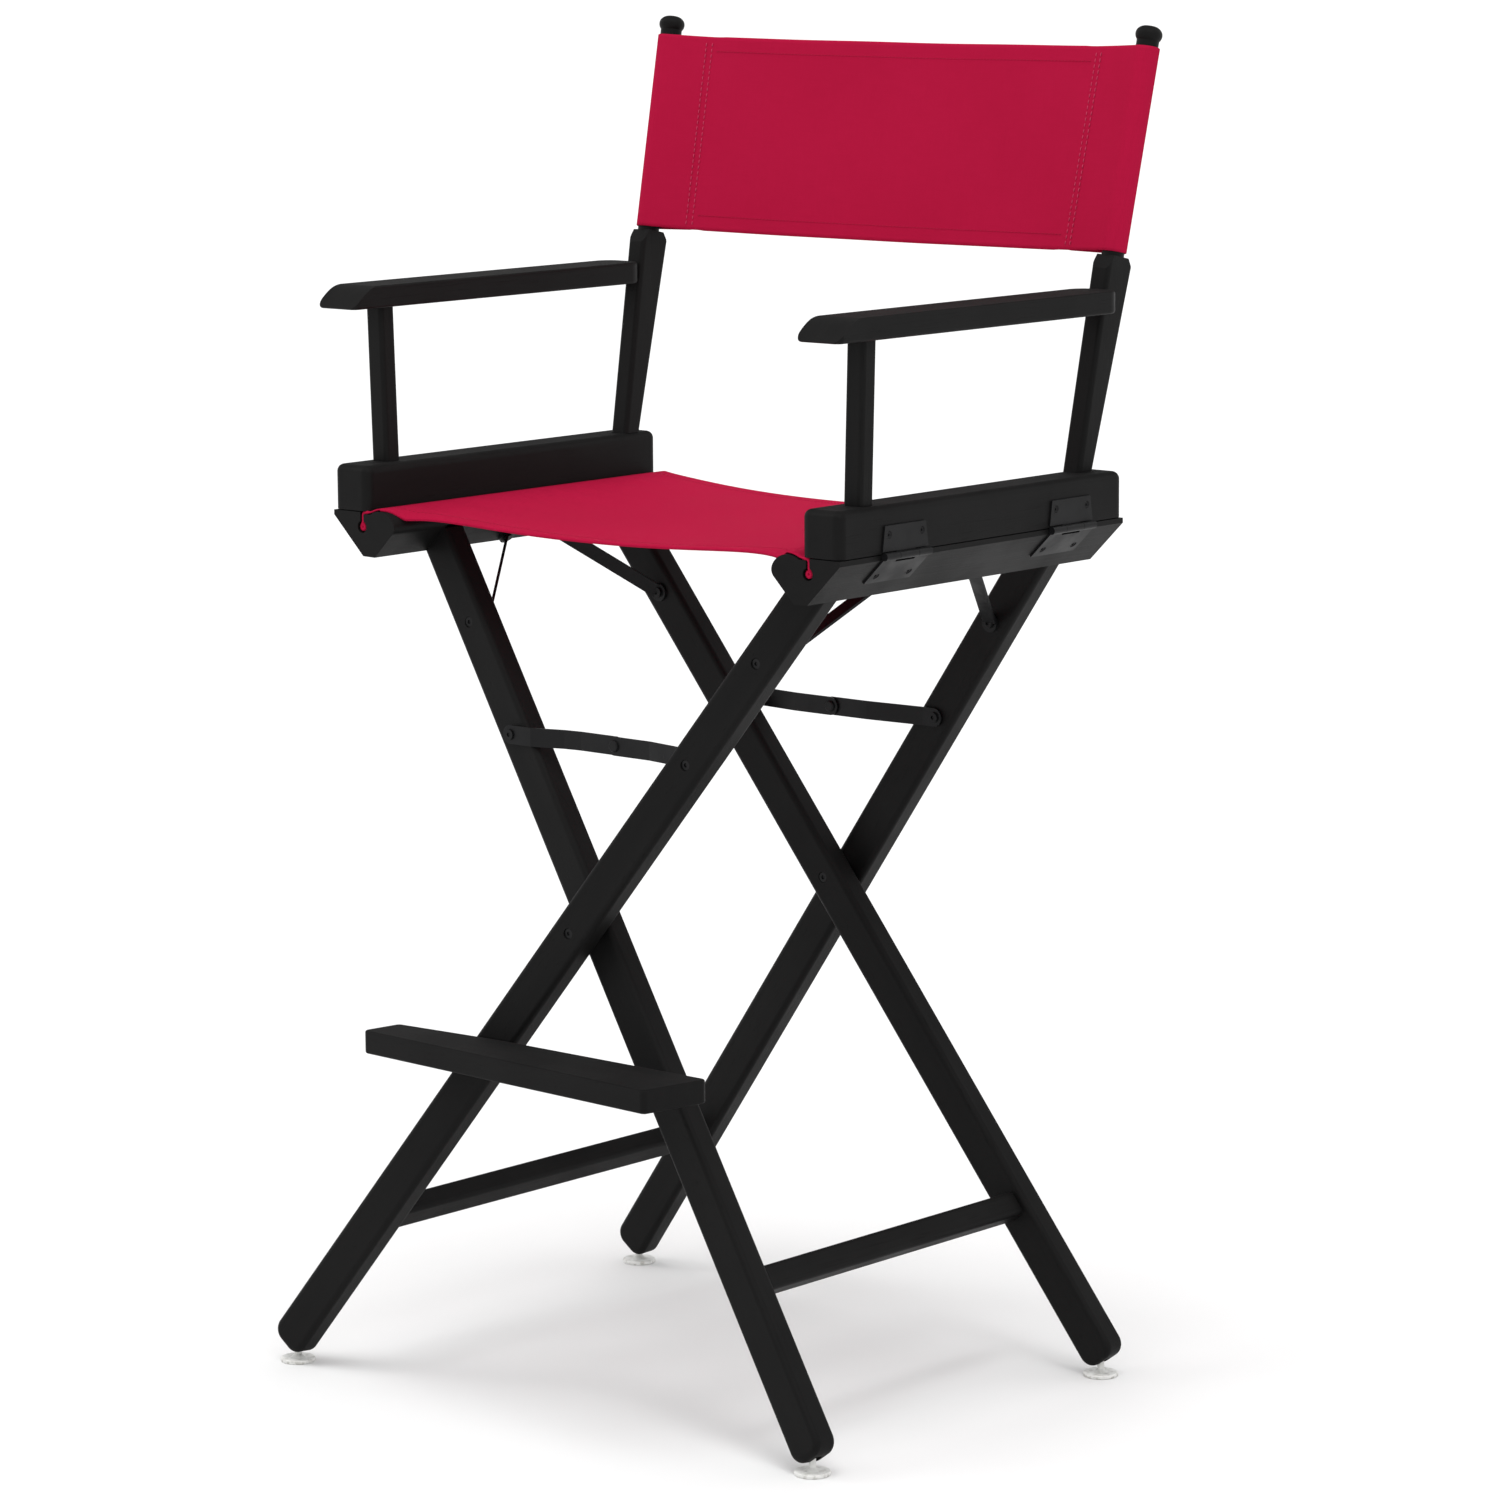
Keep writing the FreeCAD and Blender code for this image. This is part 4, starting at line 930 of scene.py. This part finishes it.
    def hem_runs(self, xs: Sequence[float]) -> List[StitchRun]:
        """Lay the stitch rows of the front and rear hems, on the top of the cloth and under it.

        Args:
            xs: x of each point of a row.

        Returns:
            The rows.
        """
        depth = self.rear_y - self.front_y
        runs = []
        for v in (0.0135 / depth, 1 - 0.0135 / depth):
            line = [self.surface(x, v) for x in xs]
            runs.append(StitchRun([p + Vector((0, 0, self.half)) for p in line],
                                  [Vector((0, 0, 1))] * len(line)))
            low = self.half + self.hem_extra
            runs.append(StitchRun([p - Vector((0, 0, low)) for p in line],
                                  [Vector((0, 0, -1))] * len(line)))
        return runs


# ------------------------------------------------------------------ canvas back
@dataclass
class Back:
    """The back cloth: one sheet whose ends turn round the posts' dowels and are sewn to themselves."""

    foot_x: float = 0.256           # dowel's x where the post leaves its rail
    foot_z: float = 0.776
    lean_out: float = math.radians(1.87)
    dowel_y: float = 0.2125         # dowel's y at its lower end
    dowel_z: float = 0.948
    tip_y: float = 0.2535
    tip_z: float = 1.131
    low_z: float = 0.957
    high_z: float = 1.125
    wrap: float = 0.01045           # radius of the cloth's middle round the dowel
    half: float = 0.0007
    pocket: float = 0.052           # from the dowel's centre to the seam
    pocket_points: int = 42         # points of a section from its end to the panel's plain part
    level: float = 0.0008           # depth of the panel at the seams
    bow: float = 0.0060
    hem: float = 0.016
    hem_extra: float = 0.0011
    cut: Tuple[float, float] = (0.690, 0.205)

    def axes(self) -> Tuple[Vector, Vector]:
        """Direction up the dowels and the direction square to them, to the rear."""
        up = Vector((0, self.tip_y - self.dowel_y, self.tip_z - self.dowel_z)).normalized()
        return up, Vector((0, up.z, -up.y))

    def origin(self) -> Vector:
        """Point between the dowels at the height of the cloth's lower edge."""
        share = (self.low_z - self.dowel_z) / (self.tip_z - self.dowel_z)
        return Vector((0, self.dowel_y + (self.tip_y - self.dowel_y) * share, self.low_z))

    def height(self) -> float:
        """Length of the cloth along the dowels."""
        return (self.high_z - self.low_z) / self.axes()[0].z

    def half_span(self, w: float) -> float:
        """Distance from the middle to the dowel's centre at w up the cloth."""
        z = self.low_z + w * self.axes()[0].z
        return self.foot_x + math.tan(self.lean_out) * (z - self.foot_z)

    def section(self, w: float) -> List[Tuple[float, float]]:
        """Trace the cloth's middle across the chair, from the left seam round to the right seam.

        Args:
            w: distance up the cloth.

        Returns:
            (x, depth) of each point.
        """
        span = self.half_span(w)
        seam = span - self.pocket
        right: List[Tuple[float, float]] = []
        opening = math.acos(self.wrap / self.pocket)
        first = math.pi + opening                       # where the front layer meets the dowel's sleeve
        last = math.pi - opening + 2 * math.pi
        start = (span + self.wrap * math.cos(first), self.wrap * math.sin(first))
        for n in range(1, 9):
            s = n / 9
            sink = 0.0006 * math.sin(math.pi * s)
            right.append((seam + (start[0] - seam) * s, self.level + (start[1] - self.level) * s + sink))
        for n in range(23):
            turn = first + (last - first) * n / 22
            right.append((span + self.wrap * math.cos(turn), self.wrap * math.sin(turn)))
        end = right[-1]
        inner = self.level + 2.3 * self.half
        for n in range(1, 10):
            s = n / 9
            right.append((end[0] + (seam - end[0]) * s, end[1] + (inner - end[1]) * s))
        panel = []
        for n in range(65):
            x = -seam + 2 * seam * n / 64
            panel.append((x, self.level + self.bow * (1 - (x / seam) ** 2)))
        return [(-x, d) for x, d in reversed(right)] + panel + right

    def ripple(self, x: float, w: float) -> float:
        """Shallow unevenness of the stretched cloth.

        Args:
            x: place across the chair.
            w: distance up the cloth.

        Returns:
            The shift to the rear.
        """
        tall = self.height()
        free = max(0.0, 1 - (abs(x) / 0.215) ** 4)
        wave = 0.0013 * free * noise.noise(Vector((x * 6.0, w * 11.0, 2.0)))
        edge = math.exp(-min(w, tall - w) / 0.03)
        return wave + 0.0007 * edge * free * math.sin(x * 38.0)

    def place(self, x: float, depth: float, w: float) -> Vector:
        """Turn the cloth's own coordinates into a point of the row frame.

        Args:
            x: place across the chair.
            depth: distance to the rear of the dowels' plane.
            w: distance up the cloth.

        Returns:
            The point.
        """
        up, rear = self.axes()
        seam = self.half_span(w) - self.pocket
        lift = self.ripple(x, w) if abs(x) < seam else 0.0
        return self.origin() + up * w + Vector((x, 0, 0)) + rear * (depth + lift)

    def rows(self) -> List[float]:
        """Space the grid's columns, with a step at each hem.

        Returns:
            Distances up the cloth.
        """
        tall = self.height()
        edge = [self.hem * n / 6 for n in range(7)]
        inner = [self.hem + 0.0012 + (tall - 2 * self.hem - 0.0024) * n / 30 for n in range(31)]
        return edge + inner + [tall - e for e in reversed(edge)]

    def build(self, finishes: Finishes) -> None:
        """Build the back and dress it.

        Args:
            finishes: the chair's finishes.
        """
        ws = self.rows()
        sections = [self.section(w) for w in ws]
        count = len(sections[0])
        grid = [[self.place(*section[i], w) for section, w in zip(sections, ws)] for i in range(count)]
        run = [0.0]
        for a, b in zip(sections[0], sections[0][1:]):
            run.append(run[-1] + math.hypot(b[0] - a[0], b[1] - a[1]))
        uvs = [[(r - run[-1] / 2, w) for w in ws] for r in run]
        tall = self.height()

        def rear(i: int, j: int) -> float:
            """Thickness behind the cloth's middle: more where the panel's hem is turned back.

            Args:
                i: row of the grid.
                j: column of the grid.

            Returns:
                The thickness.
            """
            turned = ws[j] <= self.hem + 1e-6 or ws[j] >= tall - self.hem - 1e-6
            on_panel = self.pocket_points <= i < count - self.pocket_points
            return self.half + (self.hem_extra if turned and on_panel else 0.0)

        def plain(i: int, j: int) -> float:
            """Thickness before the cloth's middle."""
            return self.half

        front_is_normal = grid_normals(grid)[count // 2][3].y < 0
        cloth = thick_sheet("back_cloth", grid, uvs, plain if front_is_normal else rear,
                            rear if front_is_normal else plain)
        dress(cloth, finishes.canvas)
        seams = stitching("back_pocket_stitches", self.seam_runs(), finishes.pale_thread)
        edges = stitching("back_hem_stitches", self.hem_runs(), finishes.thread)
        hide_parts("back_right", "back_left", "back_sleeve_right", "back_sleeve_left")
        for piece in (cloth, seams, edges):
            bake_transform(piece)
        LOG.info("back: cloth %.3f m round its path, and its stitches", run[-1])

    def seam_runs(self) -> List[StitchRun]:
        """Lay two upright rows at each pocket, on both faces of the cloth.

        Returns:
            The rows.
        """
        rear = self.axes()[1]
        tall = self.height()
        runs = []
        for face in (-1, 1):
            out = rear * face
            gap = self.half if face < 0 else self.half * 3.3
            for side in Side:
                for step in (0.0015, 0.0075):
                    line = []
                    for n in range(13):
                        w = 0.002 + (tall - 0.004) * n / 12
                        x = (self.half_span(w) - self.pocket - 0.001 + step) * side.value
                        line.append(self.place(x, self.level + 0.22 * step * face, w) + out * gap)
                    runs.append(StitchRun(line, [out] * len(line), length=0.0034, gap=0.0016, radius=0.00045))
        return runs

    def hem_runs(self) -> List[StitchRun]:
        """Lay one row along the upper and the lower hem, on both faces of the cloth.

        Returns:
            The rows.
        """
        rear = self.axes()[1]
        tall = self.height()
        runs = []
        for face in (-1, 1):
            out = rear * face
            gap = self.half if face < 0 else self.half + self.hem_extra
            for w in (0.0125, tall - 0.0125):
                seam = self.half_span(w) - self.pocket - 0.004
                line = []
                for n in range(61):
                    x = -seam + 2 * seam * n / 60
                    line.append(self.place(x, self.level + self.bow * (1 - (x / seam) ** 2), w) + out * gap)
                runs.append(StitchRun(line, [out] * len(line)))
        return runs


# ------------------------------------------------------------------ wooden and metal nodes of the frame
@dataclass
class Woodwork:
    """Legs, rails, posts, arms and footrest: the frame's own nodes, dressed by the way of their grain."""

    def by_grain(self) -> Dict[Grain, List[str]]:
        """Sort the wooden nodes.

        Returns:
            Their names for each direction of grain.
        """
        def both(end: str) -> List[str]:
            """The node names of a part that stands on both sides."""
            return [side.word + "_" + end for side in Side]

        return {
            Grain.LEG_TO_RIGHT: ["outer_leg_front", "outer_leg_rear"],
            Grain.LEG_TO_LEFT: ["inner_leg_front", "inner_leg_rear"],
            Grain.FORE_AND_AFT: ["outer_stretcher", "inner_stretcher", "footrest_peg", *both("lower_rail"),
                                 *both("upper_rail"), *both("armrest")],
            Grain.UPRIGHT: [*both("front_post"), *both("back_post"), *both("finial")],
            Grain.ACROSS: ["footrest"],
        }

    def build(self, finishes: Finishes) -> None:
        """Dress every wooden node.

        Args:
            finishes: the chair's finishes.
        """
        for grain, names in self.by_grain().items():
            for name in names:
                dress(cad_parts[name], finishes.wood[grain])
                LOG.info("wood: %s", name)


@dataclass
class Ironwork:
    """Hinges, screws, bolts, struts and folding braces."""

    words: Tuple[str, ...] = ("bolt", "spacer", "strut", "brace", "hinge", "screw", "fastener")

    def build(self, finishes: Finishes) -> None:
        """Dress every metal node, and the nylon glides and sticks with them.

        Args:
            finishes: the chair's finishes.
        """
        for name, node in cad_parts.items():
            if any(word in name for word in self.words):
                dress(node, finishes.steel)
            elif name.startswith("glide"):
                dress(node, finishes.nylon)
            elif name.startswith("hem_stick"):
                dress(node, finishes.dowel)
        LOG.info("metal, glides and sticks")


# ------------------------------------------------------------------ studio
@dataclass
class Studio:
    """Pale floor, soft light and the camera."""

    azimuth: float = math.radians(41.562)
    elevation: float = math.radians(9.407)
    target: Point = (0.01554, 0.0, 0.53472)
    distance: float = 4.6774
    lens: float = 132.45
    shift: Tuple[float, float] = (0.01615, 0.00233)
    roll: float = math.radians(-0.453)
    floor_rings: Tuple[float, ...] = (0.6, 1.2, 2.4, 5.0, 12.0, 30.0, 60.0)
    floor_spokes: int = 48
    sky: float = 1.0

    def camera(self) -> None:
        """Make the camera and set it as the scene's."""
        out = Vector((math.sin(self.azimuth) * math.cos(self.elevation),
                      -math.cos(self.azimuth) * math.cos(self.elevation), math.sin(self.elevation)))
        right = Vector((0, 0, 1)).cross(out).normalized()
        up = out.cross(right)
        c, s = math.cos(self.roll), math.sin(self.roll)
        x_way, y_way = right * c + up * s, up * c - right * s
        data = bpy.data.cameras.new("Camera")
        data.sensor_width, data.lens = 36.0, self.lens
        data.shift_x, data.shift_y = self.shift
        data.clip_start, data.clip_end = 0.05, 200.0
        camera = bpy.data.objects.new("Camera", data)
        place = Vector(self.target) + out * self.distance
        camera.matrix_world = Matrix(((x_way.x, y_way.x, out.x, place.x), (x_way.y, y_way.y, out.y, place.y),
                                      (x_way.z, y_way.z, out.z, place.z), (0, 0, 0, 1)))
        bpy.context.scene.collection.objects.link(camera)
        bpy.context.scene.camera = camera
        LOG.info("camera")

    def light(self, name: str, towards: Point, spread: float, strength: float) -> None:
        """Add one far soft light.

        Args:
            name: the light's name.
            towards: direction from the chair to it.
            spread: its angular size, in degrees.
            strength: its power.
        """
        data = bpy.data.lights.new(name, "SUN")
        data.angle, data.energy = math.radians(spread), strength
        lamp = bpy.data.objects.new(name, data)
        lamp.location = Vector(towards) * 3.0
        lamp.rotation_mode = "QUATERNION"
        lamp.rotation_quaternion = (-Vector(towards)).to_track_quat("-Z", "Y")
        bpy.context.scene.collection.objects.link(lamp)

    def floor(self) -> None:
        """Make the wide plain floor."""
        spokes = self.floor_spokes
        turns = [2 * math.pi * k / spokes for k in range(spokes)]
        points = [Vector((0, 0, 0))]
        for r in self.floor_rings:
            points += [Vector((r * math.cos(turn), r * math.sin(turn), 0)) for turn in turns]
        faces: List[Tuple[int, ...]] = [(0, 1 + k, 1 + (k + 1) % spokes) for k in range(spokes)]
        for n in range(len(self.floor_rings) - 1):
            for k in range(spokes):
                a, b = 1 + n * spokes + k, 1 + n * spokes + (k + 1) % spokes
                faces.append((a, a + spokes, b + spokes, b))
        floor = mesh_piece("studio_floor", points, faces)
        material, w, shader = new_material("Pale floor", (0.85, 0.85, 0.85))
        place = w.add("TexCoord").outputs["Object"]
        w.feed(shader.inputs["Base Color"],
               w.mix(w.noise(place, 3.0, 4.0), (0.765, 0.765, 0.765), (0.785, 0.785, 0.785)))
        w.feed(shader.inputs["Roughness"], w.ramp(w.noise(place, 60.0, 3.0), 0.3, 0.7, 0.75, 0.85))
        shader.inputs["Specular IOR Level"].default_value = 0.1
        dress(floor, material)

    def build(self) -> None:
        """Make the floor, the light and the camera."""
        self.floor()
        world = bpy.data.worlds.new("Studio")
        world.use_nodes = True
        sky = Wiring(world.node_tree)
        glow = sky.add("Background", {0: (1.0, 1.0, 1.0, 1.0), 1: self.sky})
        sky.add("OutputWorld", {0: glow.outputs[0]})
        bpy.context.scene.world = world
        self.light("overhead", (0.06, -0.16, 1.0), 30.0, 1.15)
        self.light("left", (-0.9, -0.5, 0.9), 16.0, 0.26)
        self.light("right", (0.9, -0.4, 0.9), 16.0, 0.26)
        bpy.context.scene.view_settings.view_transform = "Standard"
        self.camera()


def main() -> None:
    """Build the chair's looks in order and report each piece."""
    logging.basicConfig(level=logging.INFO, format="%(message)s")
    finishes = Finishes()
    Studio().build()
    Woodwork().build(finishes)
    Ironwork().build(finishes)
    Seat().build(finishes)
    Back().build(finishes)


if __name__ == "__main__":
    main()
